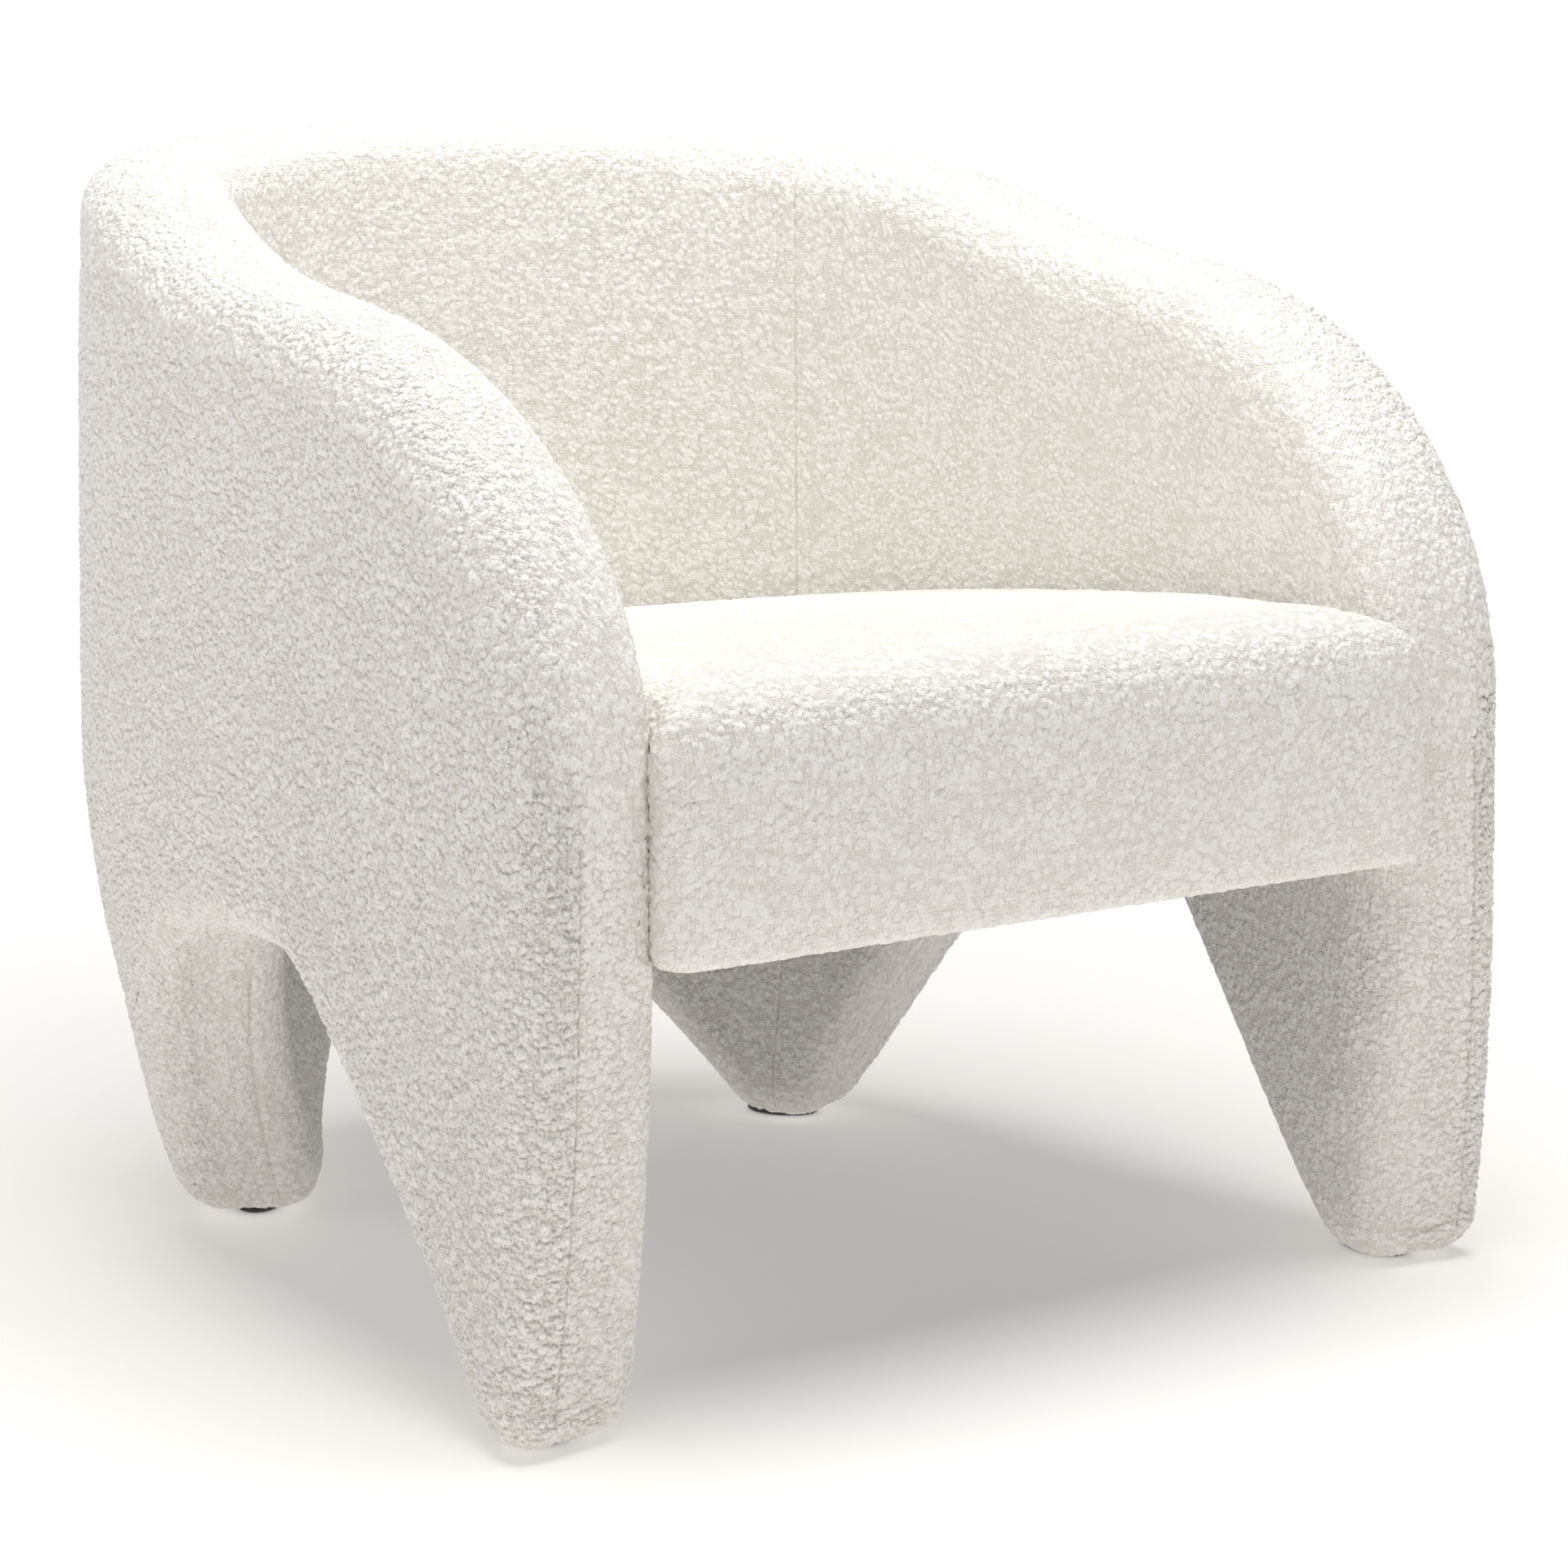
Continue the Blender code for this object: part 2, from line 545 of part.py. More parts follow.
def seat_foam_object(name, outline, depth, low_z, colour):
    size = len(outline)
    rings, middle = seat_rings(outline, depth, low_z, 0.0)
    points = np.concatenate(rings + [middle[None]])
    faces = [tuple(range(size))[::-1]] + ring_faces(len(rings), size)
    faces += fan((len(rings) - 1) * size, size, len(rings) * size)
    return add_object(name, points, faces, colour)


def seat_rail(name, first, last):
    """A rail of the seat frame that follows the outline from one of its points to another."""
    size = len(rail_outer)
    run = [k % size for k in range(first, last + 1)]
    plan = np.r_[rail_outer[run], rail_inner[run[::-1]]]
    count = len(run)
    # Each end stops half a gap short of its neighbour.
    for here, towards in ((0, 1), (count - 1, count - 2), (count, count + 1), (2 * count - 1, 2 * count - 2)):
        step = plan[towards] - plan[here]
        plan[here] = plan[here] + step / np.linalg.norm(step) * GAP
    return slab(name, plan, SEAT_RAIL_Z[0], SEAT_RAIL_Z[1], BEECH, 0.6)


def slab(name, plan, low, high, colour, roughness=0.8):
    """A flat sheet with the outline plan."""
    size = len(plan)
    points = np.r_[np.c_[plan, np.full(size, low)], np.c_[plan, np.full(size, high)]]
    faces = [tuple(range(size))[::-1], tuple(range(size, 2 * size))]
    faces += strip(list(range(size)), list(range(size, 2 * size)))
    return add_object(name, points, faces, colour, roughness)


# ---- build -------------------------------------------------------------------------------------
for old in list(bpy.data.objects):
    bpy.data.objects.remove(old, do_unlink=True)

NOTCH_U = 0.5 * (SIDE_NOTCH_REAR_U + SIDE_NOTCH_FRONT_U)
REAR_GLIDE_U = 0.300
FRONT_GLIDE_U = WALL_LEN - 0.046
ARM_FRONT_Y = WIDEST_Y - ARM_LEN
SEAT_FRONT_Y = ARM_FRONT_Y - SEAT_FRONT_OUT
SEAT_REAR_Y = WIDEST_Y + BACK_DEPTH - WALL_T_BACK / 2 - SEAT_GAP

# Covers and foam of the wall. The outer and inner halves meet along the middle of every rim.
# The padding is in three lengths, cut at the side notches.
cover_object("shell_cover_outer", 1, CREAM)
inner_cover = cover_object("shell_cover_inner", -1, CREAM)
pattern_u = wall_grid()[0][:, 0]
cuts = [0] + [int(np.argmin(np.abs(pattern_u - place))) for place in (-NOTCH_U, NOTCH_U)] + [len(pattern_u) - 1]
inner_foam = {}
for k, label in enumerate(("left", "back", "right")):
    foam_object("shell_foam_outer_" + label, 1, cuts[k], cuts[k + 1])
    inner_foam[label] = foam_object("shell_foam_inner_" + label, -1, cuts[k], cuts[k + 1])

# Frame inside the wall: two side panels, two rear posts, the back panel and its two rails.
POST_U = (0.268, 0.314)
PANEL_MARGIN = 0.040
side_u = np.r_[np.linspace(POST_U[1] + GAP, NOTCH_U, 7), np.linspace(NOTCH_U, WALL_LEN - 0.048, 11)[1:]]
side_low = np.maximum(inset_bottom(side_u, PANEL_MARGIN), 0.0)
side_high = inset_top(side_u, PANEL_MARGIN)
panels = {}
for sign, label in ((-1, "left"), (1, "right")):
    panels[label] = board("side_panel_" + label, sign * side_u, side_low, side_high, BOARD_T, PLY, 5)
    post_u = sign * np.linspace(POST_U[0], POST_U[1], 3)
    post_low = np.full(3, 0.048)
    post_high = np.full(3, 0.598)
    panels["rear_" + label] = board("rear_post_" + label, post_u, post_low, post_high, POST_T, BEECH, 9)

back_u = np.linspace(-POST_U[0] + GAP, POST_U[0] - GAP, 15)
flat = np.ones(back_u.shape)
back_rail = board("back_lower_rail", back_u, 0.275 * flat, 0.345 * flat, RAIL_T, BEECH)
board("back_panel", back_u, (0.345 + GAP) * flat, (0.598) * flat, BACK_PLY_T, PLY)
top_u = np.linspace(-POST_U[1], POST_U[1], 17)
board("back_top_rail", top_u, (0.598 + GAP) + 0 * top_u, np.full(17, 0.640), RAIL_T, BEECH)

# Seat: cover, foam, webbing, four rails and the dust cover.
outline = seat_outline()
seat_cover = seat_cover_object("seat_cover", outline, CREAM)
web_top = SEAT_RAIL_Z[1] + GAP + WEB_T
seat_foam_object("seat_foam", outline, COVER_T + 0.0008, web_top + GAP, FOAM_YELLOW)
dust_plan = seat_ring(outline, SEAT_FLANGE + 0.0005, 0.0, 0.0)[:, :2]
slab("dust_cover", dust_plan, DUST_Z[0], DUST_Z[1], BLACK, 0.9)

low_z, high_z = SEAT_RAIL_Z
rail_outer = seat_ring(outline, RAIL_INSET, 0.0, 0.0)[:, :2]
rail_inner = seat_ring(outline, RAIL_INSET + RAIL_T, 0.0, 0.0)[:, :2]
front_y = rail_outer[:, 1].min()
rear_y = rail_outer[:, 1].max()
side_x = rail_outer[:, 0].max()
LEFT_FRONT = FRONT_HALF_COUNT + NOSE_COUNT  # outline points where one rail ends and the next begins
LEFT_REAR = int(np.argmin(np.hypot(outline[:, 0] + side_x, outline[:, 1] - (WIDEST_Y + 0.10))))
size = len(outline)
rails = {
    "rear": seat_rail("seat_rail_rear", LEFT_REAR, size - LEFT_REAR),
    "left": seat_rail("seat_rail_left", LEFT_FRONT, LEFT_REAR),
    "right": seat_rail("seat_rail_right", size - LEFT_REAR, size - LEFT_FRONT),
    "front": seat_rail("seat_rail_front", size - LEFT_FRONT, size + LEFT_FRONT),
}

for k in range(WEB_COUNT):
    x = (k - (WEB_COUNT - 1) / 2) * WEB_PITCH
    edge_x = abs(x) + WEB_W / 2
    rear_left = outline[:, 0] < 0
    reach = np.interp(-edge_x, rail_outer[rear_left][outline[rear_left][:, 1] > 0][:, 0][::1],
                      rail_outer[rear_left][outline[rear_left][:, 1] > 0][:, 1][::1])
    low = (x - WEB_W / 2, front_y + 0.002, high_z + GAP)
    box("seat_web_%d" % (k + 1), low, (x + WEB_W / 2, reach - 0.002, high_z + GAP + WEB_T), WEB_GREY, 0.9)

# Bolts that hold the seat frame to the side panels and to the back's lower rail.
hole_r = BOLT_R + GAP
for sign, label in ((-1, "left"), (1, "right")):
    run = np.interp(-BOLT_SIDE_Y, -CURVE_Y, CURVE_U)
    mid = wall_point(np.array([sign * run]), np.array([BOLT_Z]), np.array([0.0]))[0]
    face_x = abs(mid[0]) + BOARD_T / 2 + 0.0015
    tip_x = side_x - RAIL_T + 0.003
    start = (sign * face_x, BOLT_SIDE_Y, BOLT_Z)
    inwards = (-sign, 0.0, 0.0)
    rings = [(-BOLT_HEAD_H, BOLT_HEAD_R), (0.0, BOLT_HEAD_R), (0.0001, BOLT_R), (face_x - tip_x, BOLT_R)]
    turned("seat_bolt_front_" + label, rings, inwards, start, STEEL, 12, 0.35, 1.0)
    hole_end = (sign * (tip_x - 0.001), BOLT_SIDE_Y, BOLT_Z)
    for target in (panels[label], inner_foam[label], inner_cover, seat_cover, rails[label]):
        drill(target, "side_" + label, start, hole_end, hole_r)
for sign, label in ((-1, "left"), (1, "right")):
    run = np.interp(BOLT_BACK_X, CURVE_X, CURVE_U)
    mid = wall_point(np.array([run]), np.array([BOLT_Z]), np.array([0.0]))[0]
    face_y = mid[1] + RAIL_T / 2 + 0.0015
    tip_y = rear_y - RAIL_T + 0.002
    start = (sign * BOLT_BACK_X, face_y, BOLT_Z)
    rings = [(-BOLT_HEAD_H, BOLT_HEAD_R), (0.0, BOLT_HEAD_R), (0.0001, BOLT_R), (face_y - tip_y, BOLT_R)]
    turned("seat_bolt_rear_" + label, rings, (0.0, -1.0, 0.0), start, STEEL, 12, 0.35, 1.0)
    hole_end = (sign * BOLT_BACK_X, tip_y - 0.001, BOLT_Z)
    for target in (back_rail, inner_foam["back"], inner_cover, seat_cover, rails["rear"]):
        drill(target, "rear_" + label, start, hole_end, hole_r)

# Nail-on glides under the four feet. Each nail runs up between the halves of the padding.
for place, run in (("front", FRONT_GLIDE_U), ("rear", REAR_GLIDE_U)):
    for sign, label in ((-1, "left"), (1, "right")):
        foot = wall_point(np.array([sign * run]), np.array([0.0]), np.array([0.0]))[0]
        foot_up = wall_point(np.array([sign * run]), np.array([NAIL_LEN]), np.array([0.0]))[0]
        slant = (foot_up - foot) / NAIL_LEN
        rings = [(0.0, GLIDE_R - 0.0015), (0.0015, GLIDE_R), (GLIDE_H, GLIDE_R), (GLIDE_H + 0.0001, NAIL_R)]
        rings += [(NAIL_LEN - 0.004, NAIL_R), (NAIL_LEN, 0.0004)]
        glide = turned("glide_%s_%s" % (place, label), rings, (0, 0, 1), (foot[0], foot[1], 0.0), BLACK, 20, 0.5)
        ahead = wall_point(np.array([sign * (run + 0.005)]), np.array([0.0]), np.array([0.0]))[0]
        along = (ahead - foot)[:2] / np.linalg.norm((ahead - foot)[:2])
        # The plate is stretched along the wall and stays level; the nail leans with the leg.
        for vertex in glide.data.vertices:
            if vertex.co.z < GLIDE_H + 0.00005:
                reach = (vertex.co.x - foot[0]) * along[0] + (vertex.co.y - foot[1]) * along[1]
                vertex.co.x += (GLIDE_STRETCH - 1) * reach * along[0]
                vertex.co.y += (GLIDE_STRETCH - 1) * reach * along[1]
            else:
                vertex.co.x += slant[0] * vertex.co.z
                vertex.co.y += slant[1] * vertex.co.z
        nail_low = foot + slant * 0.030
        nail_high = foot + slant * (NAIL_LEN + 0.002)
        wood = panels[label] if place == "front" else panels["rear_" + label]
        drill(wood, "nail_%s_%s" % (place, label), nail_low, nail_high, NAIL_R + 0.0006)
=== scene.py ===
"""Looks of the barrel armchair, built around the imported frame: looped boucle covers that are swelled by
cloth simulation, their sewn seams, the dust cover, and the finish of every piece inside them.
Metres, +Z up; the front faces -Y."""

import math

import bmesh
import bpy
import numpy as np
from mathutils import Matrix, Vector
from mathutils.kdtree import KDTree


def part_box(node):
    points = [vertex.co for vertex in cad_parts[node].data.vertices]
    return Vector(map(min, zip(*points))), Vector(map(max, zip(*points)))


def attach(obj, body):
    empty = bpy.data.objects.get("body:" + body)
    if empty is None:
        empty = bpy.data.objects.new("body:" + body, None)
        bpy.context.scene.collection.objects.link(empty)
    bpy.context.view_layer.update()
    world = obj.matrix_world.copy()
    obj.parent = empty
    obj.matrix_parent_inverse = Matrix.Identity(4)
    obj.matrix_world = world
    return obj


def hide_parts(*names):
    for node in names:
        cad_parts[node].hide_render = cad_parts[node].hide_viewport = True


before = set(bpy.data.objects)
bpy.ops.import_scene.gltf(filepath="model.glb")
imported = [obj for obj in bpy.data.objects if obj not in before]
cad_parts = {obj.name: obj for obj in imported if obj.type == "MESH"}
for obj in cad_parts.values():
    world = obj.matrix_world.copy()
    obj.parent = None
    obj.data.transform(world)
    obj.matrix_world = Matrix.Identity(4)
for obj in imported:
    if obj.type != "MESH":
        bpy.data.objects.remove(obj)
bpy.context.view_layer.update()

# ---- sizes ---------------------------------------------------------------------------------------
# The wall is a flat pattern (u along it, z up) bent around a mid curve, as in the frame's own design.
ARM_HALF_W = 0.331
BACK_DEPTH = 0.432
CORNER_POWER = 2.61
ARM_LEN = 0.286
ARM_TOE_IN = 0.019
TOP_SHARES = (0.0, 0.22, 0.42, 0.62, 0.80)  # the top edge's heights, by share of the wall's length
TOP_HEIGHTS = (0.7065, 0.697, 0.6795, 0.6335, 0.640)
SHOULDER_SHARE = 0.546  # where the top edge starts to fall to the front end, and where it ends
SHOULDER_POWER = 2.21
SHOULDER_END_Z = 0.342
WALL_T_ARM = 0.094
WALL_T_BACK = 0.083
WALL_T_CHANGE = 0.55  # the share of the wall's length over which it thins towards the back
RIM_R = 0.027
SIDE_NOTCH_REAR_U = 0.339  # where the side notch's edges would reach the floor
SIDE_NOTCH_FRONT_U = 0.8667
SIDE_NOTCH_REAR_SLOPE = 1.82
SIDE_NOTCH_FRONT_SLOPE = 1.20
SIDE_NOTCH_TOP = 0.254  # the arch that cuts them off, and how softly it meets them
SIDE_NOTCH_REAR_SOFT = 0.100
SIDE_NOTCH_FRONT_SOFT = 0.022
BACK_NOTCH_Z = 0.199
BACK_NOTCH_SOFT = 0.023
BACK_NOTCH_SLOPE = 0.834
LEAN_BACK = 0.017
LEAN_SIDE = -0.027
LEAN_FROM_Z = 0.30
LEG_TUCK_Z = 0.33  # the rear legs tuck in below this height, fading out towards the front
LEG_TUCK = 0.062
LEG_TUCK_POWER = 1.5
LEG_TUCK_SHARE = 0.6  # shares of the wall's length, here and below
FOOT_RECEDE = 0.020  # the front legs step back towards the floor
FOOT_RECEDE_Z = 0.25
FOOT_RECEDE_SHARE = 0.75
FOOT_CORNER_R = 0.022
PATTERN_SAMPLES = 6001

wall_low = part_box("shell_cover_outer")[0]
seat_low, seat_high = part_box("seat_cover")
dust_low, dust_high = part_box("dust_cover")
WIDEST_Y = wall_low.y + ARM_LEN
FOOT_Z = wall_low.z

SEAT_FRONT_Y = seat_low.y
SEAT_REAR_Y = seat_high.y
SEAT_BOTTOM_Z = seat_low.z
SEAT_FRONT_Z = 0.431
SEAT_BACK_Z = 0.360
SEAT_CROWN = 0.006
SEAT_FRONT_R = 0.048
SEAT_SIDE_R = 0.021
SEAT_BOTTOM_R = 0.006
SEAT_BOTTOM_SIDE_R = 0.007
SEAT_WRAP = 0.87
SEAT_FLANGE = 0.016
SEAT_GAP = -0.0010  # the soft seat presses into the wall
SEAT_ROUND_FADE = 0.22  # how far behind the front its edge takes to reach the side radius
SEAT_BESIDE_X = 0.20  # where the underside's edge starts to take its side radius, and over how much
SEAT_BESIDE_FADE = 0.08
SEAT_RINGS = 12

# Cloth: each cover starts a little small and swells against its pinned lower edge.
START_INSET = 0.0003
WALL_CAP = 0.0026
SEAT_CAP = 0.0025
WALL_HELD = 0.03  # height of the band that is held
SEAT_HELD = 0.02
CLOTH_PRESSURE = 4.0
CLOTH_FRAMES = 20

WALL_STEP = 0.0130  # base mesh, before three subdivisions
SEAT_VOXEL = 0.0048

# The fabric: its loops, and the knitted ground that carries them.
LOOP_CELL = 0.0046
LOOP_HEIGHT = 0.0017
CURL_CELL = 0.0027
CURL_HEIGHT = 0.0011
UNEVEN = 0.0008
LOOP_WARP = 0.0018  # how far the loops' cells are bent out of round
LOOP_WARP_SCALE = 210.0
PATCH_SCALE = 24.0  # patches of the cloth with more or fewer loops
LOOP_RADIUS = (0.55, 0.88)  # the smallest and the largest loop, as shares of a cell
LOOP_CHANCE = (0.18, -0.15)  # the draw below which no loop stands, in a sparse patch and a full one
LOOP_CHANCE_RUN = 0.30  # how much higher a draw makes a full loop
CURL_TIGHT = 1.45
CURL_SHIFT = (0.37, 0.11, 0.53)
NAP_INSIDE = 0.50  # share of the loops' height where the cover is drawn tight
NAP_RIM = 0.70
NAP_SEAT_TOP = 0.40
NAP_SEAT_FRONT = 0.90
NAP_SEAT_LOWER = 0.50
KNIT_COLUMN = 0.0023
KNIT_ROW = 0.0020
KNIT_HEIGHT = 0.0007
KNIT_WOBBLE = 0.0016
FIBRE_HEIGHT = 0.0005
FUZZ_HEIGHT = 0.0003
GAP_PAINTED_SHADE = (0.85, 0.80, 0.715, 1.0)  # the colours, from the painted shade between the stitches to the tips of the loops
GROUND = (0.94, 0.918, 0.875, 1.0)
YARN_DULL = (0.935, 0.922, 0.892, 1.0)
YARN_BRIGHT = (0.968, 0.961, 0.945, 1.0)
WARM_PATCH = (0.93, 0.905, 0.85, 1.0)
SEAM_SHADE = (0.68, 0.61, 0.50, 1.0)

# Seams: the groove, the stitches along it, and the puff of the fabric beside it.
SEAM_DEPTH = 0.0011
SEAM_WIDTH = 0.0013
SEAM_REACH = 0.02
SEAM_U = 0.307  # the back seams, either side of the middle
SEAM_COLUMN = 0.003  # a column of the mesh on either side of each
REAR_SEAM_U = (0.34, 0.47)  # the seam down the inner edge of the rear legs
FRONT_SEAM_Z = 0.46  # the top of the seam down the front legs
STITCH_PITCH = 0.005
STITCH_SHARE = 0.25
PUFF_AWAY = 0.006
PUFF_WIDTH = 0.004
PUFF_HEIGHT = 0.0006

# Dust cover: how far inside the seat's outline it ends, its cloth and hem, and how it hangs.
DUST_INSET = 0.0215
DUST_CLOTH = 0.0006
DUST_HEM = 0.0011
DUST_HEM_WIDE = 0.012
DUST_SAG = 0.003
DUST_SAG_RUN = 0.16
DUST_PUCKER = 0.0007
DUST_PUCKER_FADE = 0.025
DUST_FIXING_PITCH = 0.045
DUST_STEP = 0.007

# Studio: the floor glows more away from the chair, and the world is white up to its low band of
# directions (the sine of the elevation) and dim above it.
FLOOR_R = 2.4
FLOOR_GLOW = (0.30, 0.9)
WORLD_BAND = (0.16, 0.34)
WORLD_DIM = 0.02
OVERHEAD_POWER = 55.0
SIDE_POWER = 7.0
CAMERA_AZIMUTH = math.radians(-35.5)
CAMERA_ELEVATION = math.radians(10.22)
CAMERA_DISTANCE = 2.795
CAMERA_LENS = 102.46
CAMERA_SENSOR = 36.0
CAMERA_AIM = (-0.0077, WIDEST_Y - 0.0245, 0.3089)


# ---- the wall's pattern --------------------------------------------------------------------------
def mid_curve(samples=900):
    """u, x and y of the mid curve from the middle of the back to the front end of the +X arm."""
    turn = np.linspace(0.0, np.pi / 2, samples)
    x_corner = ARM_HALF_W * np.sin(turn) ** (2 / CORNER_POWER)
    y_corner = WIDEST_Y + BACK_DEPTH * np.cos(turn) ** (2 / CORNER_POWER)
    share = np.linspace(0.0, 1.0, samples)[1:]
    x = np.r_[x_corner, ARM_HALF_W - ARM_TOE_IN * share**2]
    y = np.r_[y_corner, WIDEST_Y - ARM_LEN * share]
    u = np.r_[0.0, np.cumsum(np.hypot(np.diff(x), np.diff(y)))]
    return u, x, y


CURVE_U, CURVE_X, CURVE_Y = mid_curve()
WALL_LEN = CURVE_U[-1]


def running_length(points):
    """The distance along a line of points, from 0 at the first."""
    return np.r_[0.0, np.cumsum(np.linalg.norm(np.diff(points, axis=0), axis=1))]


def points_at(points, run, at):
    """The points of a line at the distances at, where run is its running length."""
    return np.stack([np.interp(at, run, points[:, k]) for k in range(points.shape[1])], 1)


def smoothstep(value):
    value = np.clip(value, 0.0, 1.0)
    return value * value * (3 - 2 * value)


def through_points(shares, heights, at):
    """A smooth curve through the given heights, level at the first and straight after the last."""
    shares = np.asarray(shares)
    heights = np.asarray(heights)
    slopes = np.gradient(heights, shares)
    slopes[0] = 0.0
    k = np.clip(np.searchsorted(shares, at, side="right") - 1, 0, len(shares) - 2)
    width = shares[k + 1] - shares[k]
    t = np.clip((at - shares[k]) / width, 0.0, 1.0)
    value = (
        (2 * t**3 - 3 * t**2 + 1) * heights[k]
        + (t**3 - 2 * t**2 + t) * width * slopes[k]
        + (3 * t**2 - 2 * t**3) * heights[k + 1]
        + (t**3 - t**2) * width * slopes[k + 1]
    )
    return value + np.maximum(at - shares[-1], 0.0) * slopes[-1]


def top_edge(u):
    """Height of the wall's top edge."""
    u = np.abs(u)
    plain = through_points(TOP_SHARES, TOP_HEIGHTS, u / WALL_LEN)
    start = SHOULDER_SHARE * WALL_LEN
    share = np.clip((u - start) / (WALL_LEN - start), 0.0, 1.0)
    fall = (1 - share**SHOULDER_POWER) ** (1 / SHOULDER_POWER)
    return SHOULDER_END_Z + (plain - SHOULDER_END_Z) * fall


def smaller(a, b, soft):
    """The smaller of two heights, blended where they are close."""
    return 0.5 * (a + b - np.sqrt((a - b) ** 2 + soft**2))


def bottom_edge(u):
    """Height of the wall's bottom edge: the notches, and feet with rounded corners between them."""
    u = np.abs(u)
    rear_side = SIDE_NOTCH_REAR_SLOPE * (u - SIDE_NOTCH_REAR_U)
    front_side = SIDE_NOTCH_FRONT_SLOPE * (SIDE_NOTCH_FRONT_U - u)
    side = smaller(rear_side, SIDE_NOTCH_TOP, SIDE_NOTCH_REAR_SOFT)
    side = smaller(side, front_side, SIDE_NOTCH_FRONT_SOFT)
    back = BACK_NOTCH_Z + BACK_NOTCH_SOFT - np.hypot(BACK_NOTCH_SOFT, BACK_NOTCH_SLOPE * u)
    height = np.maximum(side, back)
    soft = FOOT_CORNER_R
    height = 0.5 * (height + np.sqrt(height**2 + soft**2))
    height = height * smoothstep(height / soft) ** 0.5
    into_end = np.clip(u - (WALL_LEN - FOOT_CORNER_R), 0.0, FOOT_CORNER_R)
    height = np.maximum(height, FOOT_CORNER_R - np.sqrt(FOOT_CORNER_R**2 - into_end**2))
    return height + FOOT_Z


def outline_points(spacing=0.001):
    """The pattern's outline as (u, z) points, evenly spaced."""
    run = np.linspace(-WALL_LEN, WALL_LEN, PATTERN_SAMPLES)
    line = np.r_[np.c_[run, top_edge(run)], np.c_[run[::-1], bottom_edge(run[::-1])]]
    line = np.r_[line, line[:1]]
    along = running_length(line)
    return points_at(line, along, np.linspace(0.0, along[-1], round(along[-1] / spacing))[:-1])


def nearest_on(outline, points):
    """Distance from each point to the outline, and the unit direction towards it."""
    tree = KDTree(len(outline))
    for k, (a, b) in enumerate(outline):
        tree.insert((a, b, 0.0), k)
    tree.balance()
    which = np.array([tree.find((a, b, 0.0))[1] for a, b in points])
    best = np.full(len(points), 1.0)
    towards = np.zeros((len(points), 2))
    for shift in (-1, 0):
        start = outline[(which + shift) % len(outline)]
        step = outline[(which + shift + 1) % len(outline)] - start
        share = np.clip(((points - start) * step).sum(1) / (step**2).sum(1), 0.0, 1.0)
        away = start + share[:, None] * step - points
        length = np.linalg.norm(away, axis=1)
        closer = length < best
        best[closer] = length[closer]
        towards[closer] = away[closer]
    return best, towards / np.maximum(best, 1e-9)[:, None]


def wall_thickness(u):
    share = smoothstep(1 - np.abs(u) / (WALL_T_CHANGE * WALL_LEN))
    return WALL_T_ARM + (WALL_T_BACK - WALL_T_ARM) * share


def half_thickness(u, distance):
    """Half thickness of the wall, rounded towards the flat band along its outline."""
    reach = np.clip(distance / RIM_R, 0.0, 1.0)
    return wall_thickness(u) / 2 - RIM_R + RIM_R * np.sqrt(1 - (1 - reach) ** 2)


def wall_point(u, z, offset):
    """The point at (u, z) of the pattern, offset outwards from the mid surface."""
    run = np.abs(u)
    side = np.where(u < 0, -1.0, 1.0)
    in_front = np.clip((run / WALL_LEN - FOOT_RECEDE_SHARE) / (1 - FOOT_RECEDE_SHARE), 0.0, 1.0)
    run = run - FOOT_RECEDE * np.clip(1 - z / FOOT_RECEDE_Z, 0.0, 1.0) ** 2 * in_front
    x = np.interp(run, CURVE_U, CURVE_X)
    y = np.interp(run, CURVE_U, CURVE_Y)
    eps = 0.001
    along_x = np.interp(run + eps, CURVE_U, CURVE_X) - np.interp(run - eps, CURVE_U, CURVE_X)
    along_y = np.interp(run + eps, CURVE_U, CURVE_Y) - np.interp(run - eps, CURVE_U, CURVE_Y)
    length = np.hypot(along_x, along_y)
    out_x = -along_y / length
    out_y = along_x / length
    back = np.clip(out_y, 0.0, 1.0) ** 2
    lean = (LEAN_BACK * back + LEAN_SIDE * (1 - back)) * (z - LEAN_FROM_Z)
    ahead = np.clip((np.abs(u) / WALL_LEN - LEG_TUCK_SHARE) / (1 - LEG_TUCK_SHARE), 0.0, 1.0)
    depth = np.clip(LEG_TUCK_Z - z, 0.0, None) / LEG_TUCK_Z
    tuck = LEG_TUCK * (1 - ahead) * depth**LEG_TUCK_POWER
    move = lean - tuck + offset
    return np.stack([side * (x + out_x * move), y + out_y * move, z + 0.0 * move], -1)


# ---- mesh helpers --------------------------------------------------------------------------------
def new_object(name, points, faces):
    mesh = bpy.data.meshes.new(name)
    mesh.from_pydata([tuple(p) for p in points], [], faces)
    mesh.validate()
    obj = bpy.data.objects.new(name, mesh)
    bpy.context.scene.collection.objects.link(obj)
    return obj


def lofted(name, rings):
    """A closed form through rings that have the same number of points, capped at both ends."""
    size = len(rings[0])
    faces = [tuple(range(size))[::-1]]
    for r in range(len(rings) - 1):
        a = np.arange(size) + r * size
        faces += [tuple(q) for q in np.stack([a, np.roll(a, -1), np.roll(a, -1) + size, a + size], -1)]
    faces.append(tuple(range((len(rings) - 1) * size, len(rings) * size)))
    obj = new_object(name, np.concatenate(rings), faces)
    face_outwards(obj)
    return obj


def face_outwards(obj):
    bm = bmesh.new()
    bm.from_mesh(obj.data)
    bmesh.ops.recalc_face_normals(bm, faces=bm.faces)
    bm.to_mesh(obj.data)
    bm.free()


def apply_modifiers(obj):
    graph = bpy.context.evaluated_depsgraph_get()
    shaped = obj.evaluated_get(graph)
    mesh = bpy.data.meshes.new_from_object(shaped, preserve_all_data_layers=True, depsgraph=graph)
    obj.modifiers.clear()
    old = obj.data
    obj.data = mesh
    bpy.data.meshes.remove(old)


